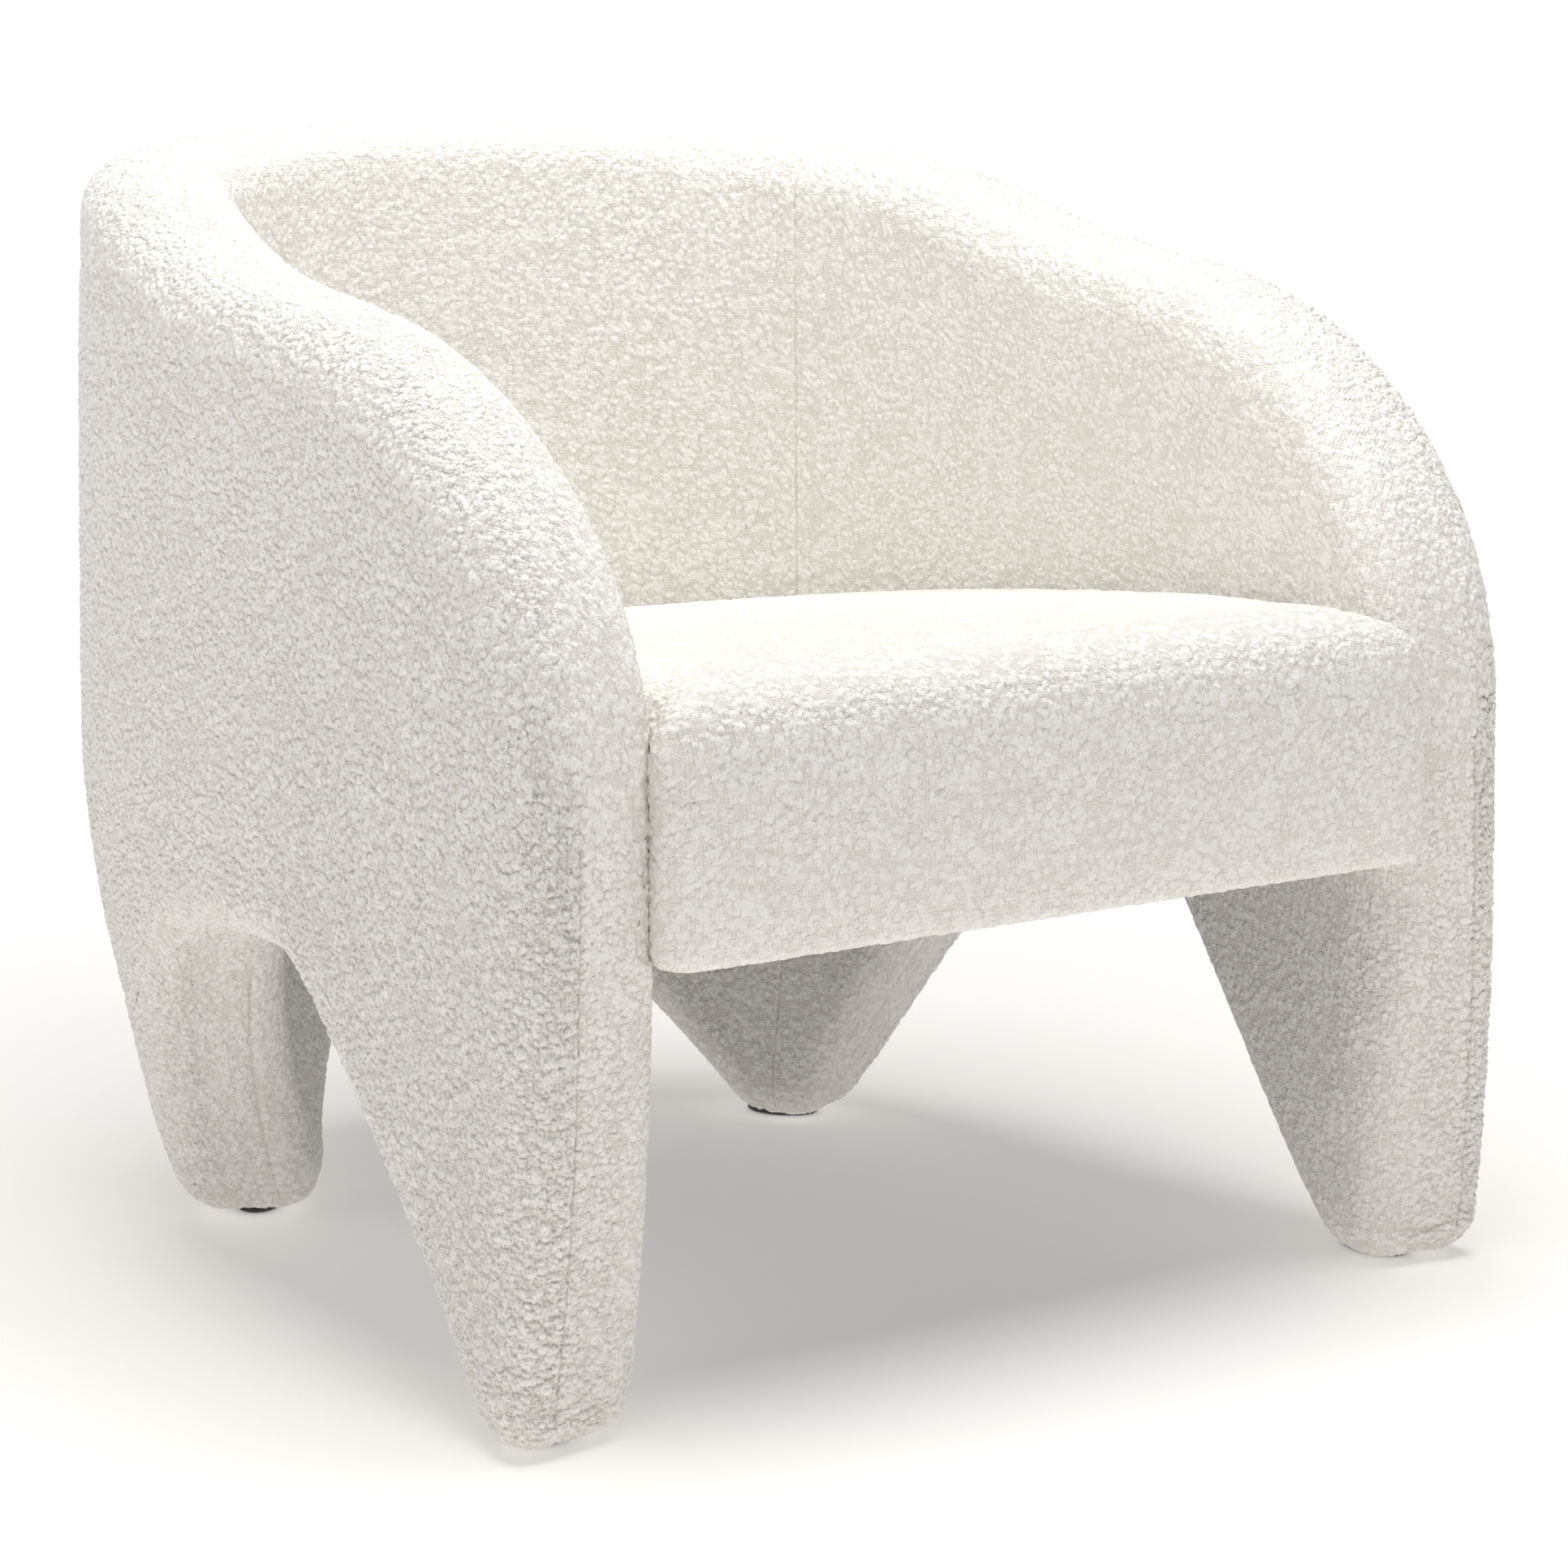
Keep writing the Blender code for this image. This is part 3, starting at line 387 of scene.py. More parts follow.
def coordinates(mesh):
    flat = np.zeros(len(mesh.vertices) * 3, np.float32)
    mesh.vertices.foreach_get("co", flat)
    return flat.reshape(-1, 3).astype(float)


def set_coordinates(mesh, points):
    mesh.vertices.foreach_set("co", np.asarray(points, np.float32).ravel())
    mesh.update()


def normals(mesh):
    flat = np.zeros(len(mesh.vertices) * 3, np.float32)
    mesh.vertex_normals.foreach_get("vector", flat)
    return flat.reshape(-1, 3).astype(float)


def store(mesh, name, values, kind="FLOAT"):
    """Keeps one value, or one vector, for each vertex, which the materials read."""
    layer = mesh.attributes.get(name) or mesh.attributes.new(name, kind, "POINT")
    field = "vector" if kind == "FLOAT_VECTOR" else "value"
    layer.data.foreach_set(field, np.asarray(values, np.float32).ravel())


def subdivide(obj, levels):
    smooth = obj.modifiers.new("subdivision", "SUBSURF")
    smooth.levels = levels
    smooth.render_levels = levels
    smooth.boundary_smooth = "PRESERVE_CORNERS"
    apply_modifiers(obj)


def swell(obj, cap, pinned):
    """Inflates obj as cloth held at its pinned vertices. The padding behind it lets it go outwards only,
    and by less than cap, which is one number or one for each vertex."""
    before = coordinates(obj.data)
    outwards = normals(obj.data)
    held = obj.vertex_groups.new(name="held")
    for index, weight in enumerate(pinned):
        if weight > 0:
            held.add([index], float(weight), "REPLACE")
    modifier = obj.modifiers.new("cloth", "CLOTH")
    cloth = modifier.settings
    cloth.quality = 5
    cloth.mass = 0.35
    cloth.tension_stiffness = 25
    cloth.compression_stiffness = 25
    cloth.shear_stiffness = 10
    cloth.bending_stiffness = 2.0
    cloth.use_pressure = True
    cloth.uniform_pressure_force = CLOTH_PRESSURE
    cloth.vertex_group_mass = "held"
    cloth.effector_weights.gravity = 0.0
    modifier.collision_settings.use_collision = False
    scene = bpy.context.scene
    for step in range(1, CLOTH_FRAMES + 1):
        scene.frame_set(step)
    graph = bpy.context.evaluated_depsgraph_get()
    after = coordinates(obj.evaluated_get(graph).data)
    obj.modifiers.remove(modifier)
    obj.vertex_groups.remove(held)
    scene.frame_set(1)
    move = after - before
    rise = (move * outwards).sum(1)
    cap = np.maximum(cap, 1e-6)
    rise = cap * np.tanh(np.maximum(rise, 0.0) / cap)
    set_coordinates(obj.data, before + outwards * rise[:, None])


# ---- node helpers --------------------------------------------------------------------------------
class Nodes:
    """Adds nodes to a tree and links them in one call each."""

    def __init__(self, tree):
        self.tree = tree

    def add(self, kind, settings=None, **inputs):
        node = self.tree.nodes.new(kind)
        for key, value in (settings or {}).items():
            setattr(node, key, value)
        for key, value in inputs.items():
            self.feed(node, key.replace("_", " "), value)
        return node

    def feed(self, node, key, value):
        socket = node.inputs[int(key[1:])] if key[0] == "i" and key[1:].isdigit() else node.inputs[key]
        if isinstance(value, bpy.types.NodeSocket):
            self.tree.links.new(value, socket)
        else:
            socket.default_value = value

    def math(self, operation, a, b=0.0, c=0.0, clamp=False):
        node = self.add("ShaderNodeMath", {"operation": operation, "use_clamp": clamp}, i0=a, i1=b)
        if operation == "MULTIPLY_ADD":
            self.feed(node, "i2", c)
        return node.outputs[0]

    def vector(self, operation, a, b=(0.0, 0.0, 0.0), scale=None):
        node = self.add("ShaderNodeVectorMath", {"operation": operation}, i0=a)
        if scale is None:
            self.feed(node, "i1", b)
        else:
            self.feed(node, "Scale", scale)
        return node.outputs[0]

    def remap(self, value, low, high, to_low=0.0, to_high=1.0, smooth=True):
        kind = "SMOOTHSTEP" if smooth else "LINEAR"
        node = self.add("ShaderNodeMapRange", {"interpolation_type": kind})
        for key, number in zip(range(5), (value, low, high, to_low, to_high)):
            self.feed(node, "i%d" % key, number)
        return node.outputs[0]

    def mix_colour(self, share, a, b):
        node = self.add("ShaderNodeMix", {"data_type": "RGBA"})
        self.feed(node, "i0", share)
        self.feed(node, "i6", a)
        self.feed(node, "i7", b)
        return node.outputs[2]

    def noise(self, where, scale, detail=2.0, roughness=0.5):
        return self.add("ShaderNodeTexNoise", Vector=where, Scale=scale, Detail=detail, Roughness=roughness)

    def voronoi(self, where, scale):
        return self.add("ShaderNodeTexVoronoi", Vector=where, Scale=scale)

    def shaken(self, where, scale, detail, amount):
        """A small move in any direction, from noise."""
        wobble = self.vector("SUBTRACT", self.noise(where, scale, detail).outputs["Color"], (0.5, 0.5, 0.5))
        return self.vector("SCALE", wobble, scale=amount)

    def attribute(self, name, output="Fac"):
        return self.add("ShaderNodeAttribute", {"attribute_name": name}).outputs[output]


# ---- the fabric's loops, as geometry -------------------------------------------------------------
def loop_fields(n, place):
    """How high the loops and the smaller curls stand at a place on the cloth, from 0 to 1, in
    geometry nodes and in the material alike."""
    bent = n.vector("ADD", place, n.shaken(place, LOOP_WARP_SCALE, 1.0, LOOP_WARP))
    patch = n.noise(place, PATCH_SCALE, 2.0).outputs[0]
    big = n.voronoi(bent, 1.0 / LOOP_CELL)
    chance = n.add("ShaderNodeSeparateXYZ", i0=big.outputs["Color"])
    radius = n.remap(chance.outputs[0], 0.0, 1.0, *LOOP_RADIUS, smooth=False)
    near = n.math("DIVIDE", big.outputs["Distance"], radius)
    dome = n.math("SUBTRACT", 1.0, n.math("MULTIPLY", near, near), clamp=True)
    lowest = n.remap(patch, 0.32, 0.62, *LOOP_CHANCE)
    present = n.remap(chance.outputs[1], lowest, n.math("ADD", lowest, LOOP_CHANCE_RUN))
    loop = n.math("MULTIPLY", n.math("POWER", dome, 0.8), present)
    small = n.voronoi(n.vector("ADD", bent, CURL_SHIFT), 1.0 / CURL_CELL)
    curl_near = n.math("MULTIPLY", small.outputs["Distance"], CURL_TIGHT)
    curl = n.math("SUBTRACT", 1.0, n.math("MULTIPLY", curl_near, curl_near), clamp=True)
    return loop, curl


def loops_group():
    """Geometry nodes that push the fabric out into loops, and keep where each point was before."""
    tree = bpy.data.node_groups.new("boucle loops", "GeometryNodeTree")
    tree.interface.new_socket("Geometry", in_out="INPUT", socket_type="NodeSocketGeometry")
    tree.interface.new_socket("Geometry", in_out="OUTPUT", socket_type="NodeSocketGeometry")
    n = Nodes(tree)
    source = n.add("NodeGroupInput").outputs[0]
    place = n.add("GeometryNodeInputPosition").outputs[0]
    vectors = {"data_type": "FLOAT_VECTOR", "domain": "POINT"}
    keep = n.add("GeometryNodeStoreNamedAttribute", vectors, Geometry=source, Name="rest", Value=place)
    loop, curl = loop_fields(n, place)
    seam = n.add("GeometryNodeInputNamedAttribute", {"data_type": "FLOAT"}, Name="seam").outputs[0]
    nap = n.add("GeometryNodeInputNamedAttribute", {"data_type": "FLOAT"}, Name="nap").outputs[0]
    raised = n.math("MULTIPLY_ADD", loop, LOOP_HEIGHT, n.math("MULTIPLY", curl, CURL_HEIGHT))
    height = n.math("MULTIPLY", n.noise(place, 60.0, 2.0).outputs[0], UNEVEN)
    height = n.math("MULTIPLY_ADD", raised, nap, height)
    height = n.math("MULTIPLY", height, n.math("MULTIPLY_ADD", seam, -0.7, 1.0))
    out = n.vector("SCALE", n.add("GeometryNodeInputNormal").outputs[0], scale=height)
    moved = n.add("GeometryNodeSetPosition", Geometry=keep.outputs[0], Offset=out)
    n.add("NodeGroupOutput", i0=moved.outputs[0])
    return tree


def add_loops(obj):
    obj.modifiers.new("loops", "NODES").node_group = LOOPS
    apply_modifiers(obj)


LOOPS = loops_group()


# ---- materials -----------------------------------------------------------------------------------
def new_material(name):
    material = bpy.data.materials.new(name)
    material.use_nodes = True
    tree = material.node_tree
    return material, Nodes(tree), tree.nodes["Principled BSDF"]


def boucle_material():
    """Cream boucle: whiter loops over a knitted ground of small V stitches. The ground is darker and
    warmer, partly its own tone and partly painted shade, with more painted shade in the gaps between its
    stitches.
    """
    material, n, shader = new_material("boucle")
    seam = n.attribute("seam")
    nap = n.attribute("nap")
    cloth = n.attribute("fabric", "Vector")
    place = n.attribute("rest", "Vector")
    loop, curl = loop_fields(n, place)

    # Knitted ground: columns, and in each a row of Vs.
    woven = n.vector("ADD", cloth, n.shaken(place, 180.0, 2.0, KNIT_WOBBLE))
    part = n.add("ShaderNodeSeparateXYZ", i0=woven)
    column = n.math("FRACT", n.math("MULTIPLY", part.outputs[0], 1 / KNIT_COLUMN))
    across = n.math("ABSOLUTE", n.math("MULTIPLY_ADD", column, 2.0, -1.0))
    rise = n.math("MULTIPLY_ADD", part.outputs[1], 1 / KNIT_ROW, n.math("MULTIPLY", across, 0.5))
    stitch = n.math("MULTIPLY_ADD", n.math("SINE", n.math("MULTIPLY", rise, math.tau)), 0.35, 0.65)
    ridge = n.math("SUBTRACT", 1.0, n.math("POWER", across, 2.5))
    knit = n.math("MULTIPLY", stitch, ridge)
    fuzz = n.noise(place, 1150.0, 3.0, 0.65).outputs[0]
    fibre = n.noise(place, 430.0, 4.0, 0.7).outputs[0]

    cover = n.math("MAXIMUM", loop, n.math("MULTIPLY", curl, 0.40))
    raised = n.remap(cover, 0.0, 0.85)
    # Painted shade: the knit's low places, between its columns and in its Vs, take the darker, warmer gap
    # colour.
    ground = n.mix_colour(knit, GAP_PAINTED_SHADE, GROUND)
    yarn = n.mix_colour(n.remap(fibre, 0.3, 0.7), YARN_DULL, YARN_BRIGHT)
    # The ground between the loops is darker and warmer than the yarn: partly the cloth's own tone, partly
    # painted shade in the valleys.
    colour = n.mix_colour(n.math("MULTIPLY", raised, 0.60), ground, yarn)
    drift = n.noise(place, 9.0, 2.0).outputs[0]
    colour = n.mix_colour(n.remap(drift, 0.3, 0.7, 0.0, 0.10), colour, WARM_PATCH)
    colour = n.mix_colour(n.math("MULTIPLY", seam, 0.16), colour, SEAM_SHADE)

    flat = n.math("SUBTRACT", 1.0, raised)
    knit_height = n.math("MULTIPLY", knit, KNIT_HEIGHT)
    height = n.math("MULTIPLY", knit_height, n.math("MULTIPLY_ADD", flat, 0.8, 0.2))
    loops = n.math("MULTIPLY_ADD", loop, 0.9 * LOOP_HEIGHT, n.math("MULTIPLY", curl, 0.9 * CURL_HEIGHT))
    height = n.math("MULTIPLY_ADD", loops, nap, height)
    height = n.math("MULTIPLY_ADD", fibre, FIBRE_HEIGHT, height)
    height = n.math("MULTIPLY_ADD", fuzz, FUZZ_HEIGHT, height)
    bump = n.add("ShaderNodeBump", Strength=0.9, Distance=1.0, Height=height)
    rough = n.remap(fibre, 0.2, 0.8, 0.86, 0.98, smooth=False)
    n.feed(shader, "Base Color", colour)
    n.feed(shader, "Roughness", rough)
    n.feed(shader, "Normal", bump.outputs[0])
    shader.inputs["Sheen Weight"].default_value = 0.15
    shader.inputs["Sheen Roughness"].default_value = 0.55
    shader.inputs["Specular IOR Level"].default_value = 0.12
    return material


def simple_material(name, build):
    """A material whose colour, roughness and height come from build(nodes, object coordinates)."""
    material, n, shader = new_material(name)
    place = n.add("ShaderNodeTexCoord").outputs["Object"]
    colour, rough, height, depth = build(n, place)
    n.feed(shader, "Base Color", colour)
    n.feed(shader, "Roughness", rough)
    bump = n.add("ShaderNodeBump", Strength=0.6, Distance=depth, Height=height)
    n.feed(shader, "Normal", bump.outputs[0])
    return material, shader


def wood(light, dark, grain_axis, rings):
    """Wood with its grain along the axis 0, 1 or 2, for simple_material."""

    def build(n, place):
        stretch = [0.06 if k == grain_axis else 1.0 for k in range(3)]
        along = n.vector("MULTIPLY", place, tuple(stretch))
        bend = n.vector("ADD", along, n.vector("SCALE", n.noise(along, 14.0).outputs["Color"], scale=0.02))
        bands = n.noise(bend, rings, 3.0, 0.6).outputs[0]
        pores = n.noise(along, 900.0, 2.0).outputs[0]
        shade = n.math("MULTIPLY_ADD", pores, 0.35, n.remap(bands, 0.35, 0.65, 0.0, 0.65))
        return n.mix_colour(shade, light, dark), n.remap(bands, 0.3, 0.7, 0.5, 0.7), pores, 0.0004

    return build


def foam(n, place):
    cells = n.voronoi(place, 700.0).outputs["Distance"]
    blotch = n.noise(place, 18.0, 3.0).outputs[0]
    colour = n.mix_colour(blotch, (0.90, 0.82, 0.55, 1.0), (0.82, 0.70, 0.42, 1.0))
    return colour, n.remap(blotch, 0.3, 0.7, 0.85, 0.95), cells, 0.0006


def webbing(n, place):
    part = n.add("ShaderNodeSeparateXYZ", i0=place)
    across = n.math("SINE", n.math("MULTIPLY", part.outputs[0], math.tau / 0.003))
    along = n.math("SINE", n.math("MULTIPLY", part.outputs[1], math.tau / 0.002))
    weave = n.math("MULTIPLY_ADD", n.math("MULTIPLY", across, along), 0.5, 0.5)
    return n.mix_colour(weave, (0.16, 0.15, 0.14, 1.0), (0.42, 0.40, 0.37, 1.0)), 0.9, weave, 0.0004


def non_woven(n, place):
    fibres = n.noise(n.vector("MULTIPLY", place, (1.0, 0.35, 1.0)), 900.0, 3.0, 0.7).outputs[0]
    spots = n.voronoi(place, 420.0).outputs["Distance"]
    colour = n.mix_colour(fibres, (0.010, 0.010, 0.011, 1.0), (0.045, 0.045, 0.048, 1.0))
    return colour, n.remap(fibres, 0.3, 0.7, 0.8, 0.95), n.math("ADD", fibres, spots), 0.0003


def nylon(n, place):
    grain = n.noise(place, 1600.0, 2.0).outputs[0]
    scuffs = n.noise(n.vector("MULTIPLY", place, (1.0, 0.2, 1.0)), 260.0, 3.0).outputs[0]
    colour = n.mix_colour(n.remap(scuffs, 0.5, 0.8), (0.018, 0.018, 0.020, 1.0), (0.06, 0.06, 0.06, 1.0))
    return colour, n.remap(scuffs, 0.3, 0.7, 0.38, 0.6), grain, 0.0001


def zinc(n, place):
    brushed = n.noise(n.vector("MULTIPLY", place, (1.0, 1.0, 6.0)), 500.0, 2.0).outputs[0]
    colour = n.mix_colour(brushed, (0.50, 0.50, 0.51, 1.0), (0.62, 0.62, 0.61, 1.0))
    return colour, n.remap(brushed, 0.3, 0.7, 0.28, 0.45), brushed, 0.00005


def finish_inner_nodes():
    """Gives every carried-over node its finish."""
    ply_light = (0.70, 0.54, 0.35, 1.0)
    ply_dark = (0.50, 0.34, 0.19, 1.0)
    beech_light = (0.74, 0.56, 0.38, 1.0)
    beech_dark = (0.56, 0.37, 0.22, 1.0)
    finishes = {
        "side_panel": simple_material("plywood upright", wood(ply_light, ply_dark, 2, 60.0))[0],
        "back_panel": simple_material("plywood back", wood(ply_light, ply_dark, 0, 60.0))[0],
        "rear_post": simple_material("beech post", wood(beech_light, beech_dark, 2, 90.0))[0],
        "back_": simple_material("beech rail", wood(beech_light, beech_dark, 0, 90.0))[0],
        "seat_rail_left": simple_material("beech side rail", wood(beech_light, beech_dark, 1, 90.0))[0],
        "seat_rail_right": bpy.data.materials["beech side rail"],
        "seat_rail": bpy.data.materials["beech rail"],
        "shell_foam": simple_material("foam", foam)[0],
        "seat_foam": bpy.data.materials["foam"],
        "seat_web": simple_material("elastic webbing", webbing)[0],
        "glide": simple_material("black nylon", nylon)[0],
    }
    steel, shader = simple_material("zinc plated steel", zinc)
    shader.inputs["Metallic"].default_value = 1.0
    finishes["seat_bolt"] = steel
    for name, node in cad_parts.items():
        match = [key for key in finishes if name.startswith(key)]
        if match:
            node.data.materials.clear()
            node.data.materials.append(finishes[match[0]])


# ---- the wall's cover ----------------------------------------------------------------------------
def pattern_columns():
    """Values of u from one front end to the other, close where the edges are steep, with a line on
    each back seam and one on either side of it."""
    u = np.linspace(0.0, WALL_LEN, PATTERN_SAMPLES)
    rise = np.maximum(np.abs(np.diff(top_edge(u))), np.abs(np.diff(bottom_edge(u))))
    run = np.r_[0.0, np.cumsum(np.hypot(np.diff(u), 0.8 * rise))]
    count = round(run[-1] / WALL_STEP)
    half = np.interp(np.linspace(0.0, run[-1], count + 1), run, u)
    half = half[np.abs(half - SEAM_U) > 2 * SEAM_COLUMN]
    half = np.sort(np.r_[half, SEAM_U - SEAM_COLUMN, SEAM_U, SEAM_U + SEAM_COLUMN])
    return np.r_[-half[:0:-1], half]


def wall_cover():
    """One closed cover: the outer side, the inner side and the band around the rims."""
    u = pattern_columns()
    low = bottom_edge(u)[:, None]
    high = top_edge(u)[:, None]
    turn = np.linspace(0.0, np.pi / 2, 5)
    edge = RIM_R * (1 - np.cos(turn))
    middle_rows = round(0.62 / WALL_STEP)
    inner = np.linspace(0.0, 1.0, middle_rows)[None, 1:-1]
    middle = low + edge[-1] + (high - low - 2 * edge[-1]) * inner
    z = np.c_[low + edge, middle, high - edge[::-1]]
    columns, rows = z.shape
    wide_u = np.repeat(u[:, None], rows, 1)
    index = np.arange(columns * rows).reshape(columns, rows)
    ring = np.r_[index[:, 0], index[-1, 1:], index[-2::-1, -1], index[0, -2:0:-1]]
    flat_u = wide_u.ravel()
    flat_z = z.ravel()
    distance, towards = nearest_on(outline_points(), np.c_[flat_u, flat_z])
    distance[ring] = 0.0
    ahead = np.roll(ring, -1)
    behind = np.roll(ring, 1)
    tangent = np.c_[flat_u[ahead] - flat_u[behind], flat_z[ahead] - flat_z[behind]]
    towards[ring] = np.c_[tangent[:, 1], -tangent[:, 0]] / np.linalg.norm(tangent, axis=1)[:, None]
    flat_half = half_thickness(flat_u, distance) - START_INSET
    # The cloth's own coordinates run on over the rounded corner and the band.
    angle = np.arccos(np.clip(1 - distance / RIM_R, 0.0, 1.0))
    extra = RIM_R * (np.pi / 2 - angle - np.cos(angle))
    cloth = np.c_[flat_u, flat_z] + towards * extra[:, None]
    layers = [wall_point(flat_u, flat_z, flat_half), wall_point(flat_u, flat_z, -flat_half)]
    fabric = [np.c_[cloth, 0 * flat_z]] * 2
    across = (0.70, 0.35, 0.0, -0.35, -0.70)
    for share in across:
        layers.append(wall_point(flat_u[ring], flat_z[ring], share * flat_half[ring]))
        run = flat_half[ring] * (1 - abs(share))
        fabric.append(np.c_[cloth[ring] + towards[ring] * run[:, None], 0 * run])
    points = np.concatenate(layers)

    quads = np.stack([index[:-1, :-1], index[1:, :-1], index[1:, 1:], index[:-1, 1:]], -1).reshape(-1, 4)
    count = columns * rows
    faces = [tuple(q) for q in quads] + [tuple(q[::-1] + count) for q in quads]
    band = [2 * count + k * len(ring) + np.arange(len(ring)) for k in range(len(across))]
    rings = [ring] + band + [ring + count]
    for a, b in zip(rings, rings[1:]):
        faces += [tuple(q) for q in np.stack([a, np.roll(a, -1), np.roll(b, -1), b], -1)]
    obj = new_object("shell_cover", points, faces)
    face_outwards(obj)
    store(obj.data, "fabric", np.concatenate(fabric), "FLOAT_VECTOR")
    nap = np.full(len(points), NAP_RIM)
    nap[:count] = 1.0
    nap[count:2 * count] = NAP_INSIDE
    store(obj.data, "nap", nap)

    # Seam lines: two up the back, inside and outside, the outer corner down each front leg, and the
    # inner corner down each rear leg, along the side notch.
    back_seams = [int(np.argmin(np.abs(u - place))) for place in (-SEAM_U, SEAM_U)]
    front_rows = z[0] < FRONT_SEAM_Z
    rear_side = (np.abs(u) > REAR_SEAM_U[0]) & (np.abs(u) < REAR_SEAM_U[1])
    seams = [
        index[back_seams[0], :] + count,
        index[back_seams[1], :] + count,
        index[back_seams[0], :],
        index[back_seams[1], :],
        index[0, front_rows],
        index[-1, front_rows],
        index[rear_side & (u > 0), 0] + count,
        index[rear_side & (u < 0), 0] + count,
    ]
    return obj, seams


def seam_points(obj, seams):
    """Points 1 mm apart along each seam line, with the distance along it."""
    place = coordinates(obj.data)
    lines = []
    for line in seams:
        corner = place[line]
        run = running_length(corner)
        at = np.arange(0.0, run[-1], 0.001)
        lines.append(np.c_[points_at(corner, run, at), at])
    return np.concatenate(lines)


def sew(obj, line):
    """Pulls the fabric in along the seams, deeper at each stitch, and puffs it a little beside them."""
    tree = KDTree(len(line))
    for k, row in enumerate(line):
        tree.insert(row[:3], k)
    tree.balance()
    place = coordinates(obj.data)
    low = line[:, :3].min(0) - SEAM_REACH
    high = line[:, :3].max(0) + SEAM_REACH
    near = np.where(((place > low) & (place < high)).all(1))[0]
    gap = np.full(len(place), 1.0)
    along = np.zeros(len(place))
    for k in near:
        _, which, away = tree.find(place[k])
        gap[k] = away
        along[k] = line[which, 3]
    groove = np.exp(-((gap / SEAM_WIDTH) ** 2))
    puff = np.exp(-(((gap - PUFF_AWAY) / PUFF_WIDTH) ** 2)) * (gap < SEAM_REACH)
    hole = 1 - STITCH_SHARE + STITCH_SHARE * np.cos(along * (2 * np.pi / STITCH_PITCH))
    depth = SEAM_DEPTH * groove * hole - PUFF_HEIGHT * puff
    set_coordinates(obj.data, place - normals(obj.data) * depth[:, None])
    store(obj.data, "seam", groove)


# ---- the seat's cover ----------------------------------------------------------------------------
def seat_outline():
    """The seat's outline in plan, clear of the wall, from the front centre round by the left."""
    level = 0.5 * (SEAT_BOTTOM_Z + SEAT_FRONT_Z)
    straight = np.linspace(0.0, WALL_LEN - RIM_R, 61)
    wrap = np.linspace(0.0, SEAT_WRAP, 10)[1:]
    reach = RIM_R + SEAT_GAP
    run = np.r_[straight, WALL_LEN - RIM_R + reach * np.sin(wrap)]
    beside = wall_thickness(straight) / 2 + SEAT_GAP
    inwards = np.r_[beside, WALL_T_ARM / 2 - RIM_R + reach * np.cos(wrap)]
    wall = wall_point(-run[::-1], np.full(run.shape, level), -inwards[::-1])[:, :2]
    wall[:, 1] -= np.maximum(run[::-1] - WALL_LEN, 0.0)
    # From the end of the wrap, one arc turns to face the front.
    nose = (wall[0, 1] - SEAT_FRONT_Y) / (1 + np.sin(SEAT_WRAP))
    centre = wall[0] + nose * np.array([np.cos(SEAT_WRAP), -np.sin(SEAT_WRAP)])
    turn = np.linspace(-np.pi / 2, SEAT_WRAP, 13)[:-1]
    corner = centre + nose * np.c_[-np.cos(turn), np.sin(turn)]
    front_x = np.linspace(0.0, corner[0, 0], 24)[:-1]
    left = np.r_[np.c_[front_x, np.full(front_x.shape, SEAT_FRONT_Y)], corner, wall]
    return np.r_[left, left[-2:0:-1] * np.array([-1.0, 1.0])]


def seat_top_z(y):
    share = (y - SEAT_FRONT_Y) / (SEAT_REAR_Y - SEAT_FRONT_Y)
    crown = SEAT_CROWN * np.sin(np.pi * np.clip(share, 0, 1))
    return SEAT_FRONT_Z + (SEAT_BACK_Z - SEAT_FRONT_Z) * share + crown


def seat_cover():
    """The padded seat as a closed form: rings from the underside over the sides to the top."""
    outline = seat_outline() * (1 - START_INSET / seat_high.x)
    middle = np.array([0.0, 0.5 * (SEAT_FRONT_Y + SEAT_REAR_Y)])
    reach = np.abs(outline[:, 0]).max()
    deepest = SEAT_FRONT_R * 1.15 / reach
    shares = [1.0 - deepest * (1 - np.cos(turn)) for turn in np.linspace(0.0, np.pi / 2, SEAT_RINGS)]
    shares += list(np.linspace(shares[-1], 0.04, 10)[1:])

    def skin(share, over):
        """Ring of the top or the underside, drawn in towards the middle, and rounded by its distance
        to the outline."""
        plan = middle + (outline - middle) * share
        distance = nearest_on(outline, plan)[0]
        if over:
            behind = smoothstep((plan[:, 1] - SEAT_FRONT_Y) / SEAT_ROUND_FADE)
            radius = SEAT_FRONT_R + (SEAT_SIDE_R - SEAT_FRONT_R) * behind
        else:
            beside = smoothstep((np.abs(plan[:, 0]) - SEAT_BESIDE_X) / SEAT_BESIDE_FADE)
            radius = SEAT_BOTTOM_R + (SEAT_BOTTOM_SIDE_R - SEAT_BOTTOM_R) * beside
        drop = radius * (1 - np.sqrt(1 - (1 - np.clip(distance / radius, 0.0, 1.0)) ** 2))
        if over:
            return np.c_[plan, seat_top_z(plan[:, 1]) - drop - START_INSET]
        # The underside is hollow above the dust cover, inside the folded edge.
        hollow = (dust_high.z - SEAT_BOTTOM_Z + 0.002) * smoothstep((distance - SEAT_FLANGE) / 0.006)
        return np.c_[plan, SEAT_BOTTOM_Z + np.maximum(drop, hollow)]

    below = [skin(share, False) for share in shares[::-1]]
    above = [skin(share, True) for share in shares]
    between = np.linspace(0.0, 1.0, SEAT_RINGS)[1:-1]
    sides = [below[-1] + (above[0] - below[-1]) * share for share in between]
    obj = lofted("seat_cushion", below + sides + above)
    even = obj.modifiers.new("remesh", "REMESH")
    even.mode = "VOXEL"
    even.voxel_size = SEAT_VOXEL
    apply_modifiers(obj)
    relax = obj.modifiers.new("relax", "SMOOTH")
    relax.factor = 0.5
    relax.iterations = 2
    apply_modifiers(obj)
    return obj


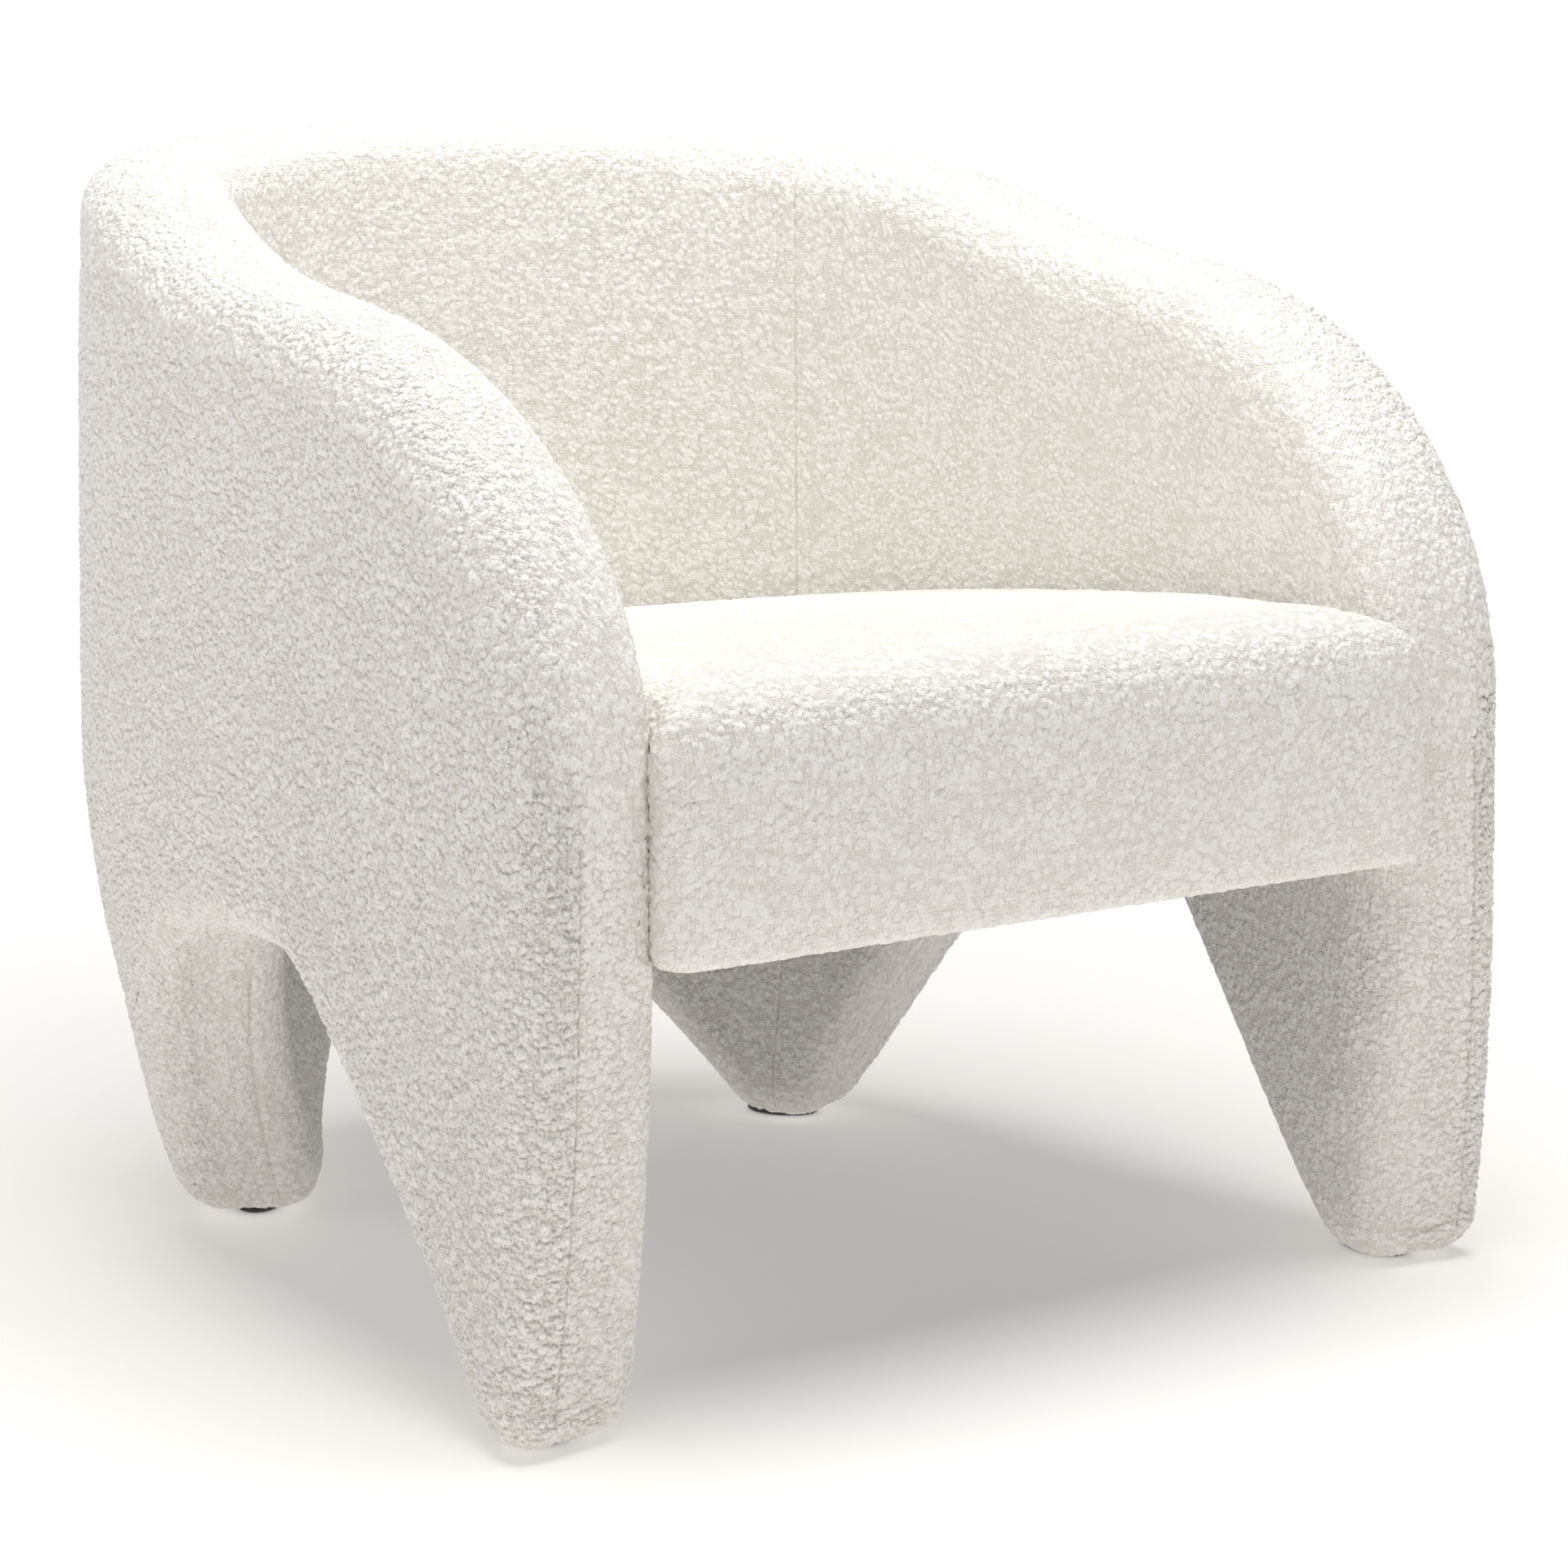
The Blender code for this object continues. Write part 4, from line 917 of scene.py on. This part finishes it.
# ---- the dust cover ------------------------------------------------------------------------------
def dust_sheet():
    """A thin sheet under the seat: hemmed, puckered between its fixings, and a little slack. Returned
    with the width, length and area that it was cut to."""
    outline = seat_outline()
    ahead = np.roll(outline, -1, 0) - np.roll(outline, 1, 0)
    inwards = np.c_[ahead[:, 1], -ahead[:, 0]] / np.linalg.norm(ahead, axis=1)[:, None]
    edge = outline + inwards * DUST_INSET
    closed = np.r_[edge, edge[:1]]
    run = running_length(closed)
    size = round(run[-1] / DUST_STEP)
    at = np.linspace(0.0, run[-1], size + 1)[:-1]
    edge = points_at(closed, run, at)
    middle = np.array([0.0, 0.5 * (SEAT_FRONT_Y + SEAT_REAR_Y)])
    past_hem = 1.0 - 1.4 * (DUST_HEM_WIDE / abs(edge[:, 0]).max())
    shares = np.r_[np.linspace(1.0, past_hem, 6), np.linspace(past_hem, 0.03, 22)[1:]]
    below = []
    above = []
    for share in shares:
        plan = middle + (edge - middle) * share
        distance = nearest_on(edge, plan)[0] if share < 1.0 else np.zeros(size)
        wave = np.cos(at * (2 * np.pi / DUST_FIXING_PITCH))
        pucker = DUST_PUCKER * wave * np.exp(-distance / DUST_PUCKER_FADE)
        level = dust_low.z + pucker - DUST_SAG * smoothstep(distance / DUST_SAG_RUN)
        hem = 1 - smoothstep((distance - DUST_HEM_WIDE) / 0.002)
        thick = DUST_CLOTH + (DUST_HEM - DUST_CLOTH) * hem
        below.append(np.c_[plan, level])
        above.append(np.c_[plan, level + thick])
    obj = lofted("dust_sheet", below[::-1] + above)
    after = np.roll(edge, -1, 0)
    area = 0.5 * abs(np.sum(edge[:, 0] * after[:, 1] - after[:, 0] * edge[:, 1]))
    wide, long = np.ptp(edge, axis=0)
    return obj, (float(wide), float(long)), float(area)


# ---- build ---------------------------------------------------------------------------------------
boucle = boucle_material()

wall, seam_lines = wall_cover()
place = coordinates(wall.data)
pinned = np.clip(1 - (place[:, 2] - FOOT_Z) / WALL_HELD, 0.0, 1.0)
swell(wall, WALL_CAP, pinned)
line = seam_points(wall, seam_lines)
subdivide(wall, 3)
sew(wall, line)
add_loops(wall)

seat = seat_cover()
place = coordinates(seat.data)
pinned = np.clip(1 - (place[:, 2] - SEAT_BOTTOM_Z) / SEAT_HELD, 0.0, 1.0)
way = normals(seat.data)
free = np.clip(np.maximum(way[:, 2], -way[:, 1]), 0.0, 1.0) ** 2
swell(seat, SEAT_CAP * free, pinned)
subdivide(seat, 1)
place = coordinates(seat.data)
store(seat.data, "fabric", np.c_[place[:, 0], place[:, 1] + place[:, 2], 0 * place[:, 0]], "FLOAT_VECTOR")
store(seat.data, "seam", np.zeros(len(place)))
flatness = smoothstep((normals(seat.data)[:, 2] - 0.5) / 0.45)
lower = 1 - smoothstep((place[:, 2] - SEAT_BOTTOM_Z) / 0.13)
nap = NAP_SEAT_FRONT + (NAP_SEAT_TOP - NAP_SEAT_FRONT) * flatness
nap += (NAP_SEAT_LOWER - NAP_SEAT_FRONT) * lower
store(seat.data, "nap", nap)
add_loops(seat)

for piece, nodes in ((wall, ("shell_cover_outer", "shell_cover_inner")), (seat, ("seat_cover",))):
    piece.data.materials.clear()
    piece.data.materials.append(boucle)
    piece.data.shade_smooth()
    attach(piece, "root")
    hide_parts(*nodes)

finish_inner_nodes()

dust, dust_flat, dust_area = dust_sheet()
dust.data.materials.append(simple_material("black non-woven", non_woven)[0])
dust.data.shade_smooth()
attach(dust, "root")
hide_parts("dust_cover")


# ---- studio --------------------------------------------------------------------------------------
def studio():
    """The floor, the world, two softboxes and the camera."""
    scene = bpy.context.scene
    just_below = (0.0, 0.0, -0.0005)
    bpy.ops.mesh.primitive_circle_add(vertices=96, radius=FLOOR_R, fill_type="NGON", location=just_below)
    floor = bpy.context.object
    floor.name = "studio_floor"
    material, n, shader = new_material("pale floor")
    place = n.add("ShaderNodeTexCoord").outputs["Object"]
    reach = n.add("ShaderNodeVectorMath", {"operation": "LENGTH"}, i0=place).outputs["Value"]
    shader.inputs["Base Color"].default_value = (0.95, 0.92, 0.885, 1.0)
    shader.inputs["Roughness"].default_value = 0.9
    shader.inputs["Emission Color"].default_value = (1.0, 1.0, 1.0, 1.0)
    n.feed(shader, "Emission Strength", n.remap(reach, 0.3 * FLOOR_R, 0.9 * FLOOR_R, *FLOOR_GLOW))
    floor.data.materials.append(material)

    # White near the horizon, dimmer overhead, where the softbox is.
    world = bpy.data.worlds.new("studio")
    world.use_nodes = True
    n = Nodes(world.node_tree)
    direction = n.add("ShaderNodeSeparateXYZ", i0=n.add("ShaderNodeTexCoord").outputs["Generated"])
    background = world.node_tree.nodes["Background"]
    n.feed(background, "Strength", n.remap(direction.outputs[2], *WORLD_BAND, 1.0, WORLD_DIM))
    background.inputs["Color"].default_value = (1.0, 1.0, 1.0, 1.0)
    scene.world = world

    def lamp(name, place, aim, size, power):
        light = bpy.data.lights.new(name, "AREA")
        light.shape = "RECTANGLE"
        light.size, light.size_y = size
        light.energy = power
        obj = bpy.data.objects.new(name, light)
        scene.collection.objects.link(obj)
        obj.location = place
        obj.rotation_euler = (Vector(aim) - Vector(place)).to_track_quat("-Z", "Y").to_euler()

    lamp("overhead_softbox", (0.0, -0.25, 2.3), (0.0, 0.0, 0.35), (2.0, 2.0), OVERHEAD_POWER)
    lamp("side_softbox", (-2.3, 0.2, 1.6), (0.0, 0.0, 0.45), (1.2, 1.2), SIDE_POWER)

    # From the front left, a little above the seat.
    level = math.cos(CAMERA_ELEVATION)
    across = math.sin(CAMERA_AZIMUTH) * level
    ahead = -math.cos(CAMERA_AZIMUTH) * level
    back = Vector((across, ahead, math.sin(CAMERA_ELEVATION)))
    camera_data = bpy.data.cameras.new("camera")
    camera_data.lens = CAMERA_LENS
    camera_data.sensor_width = CAMERA_SENSOR
    camera = bpy.data.objects.new("camera", camera_data)
    scene.collection.objects.link(camera)
    camera.location = Vector(CAMERA_AIM) + back * CAMERA_DISTANCE
    camera.rotation_euler = (-back).to_track_quat("-Z", "Y").to_euler()
    scene.camera = camera
    scene.view_settings.view_transform = "Standard"


studio()
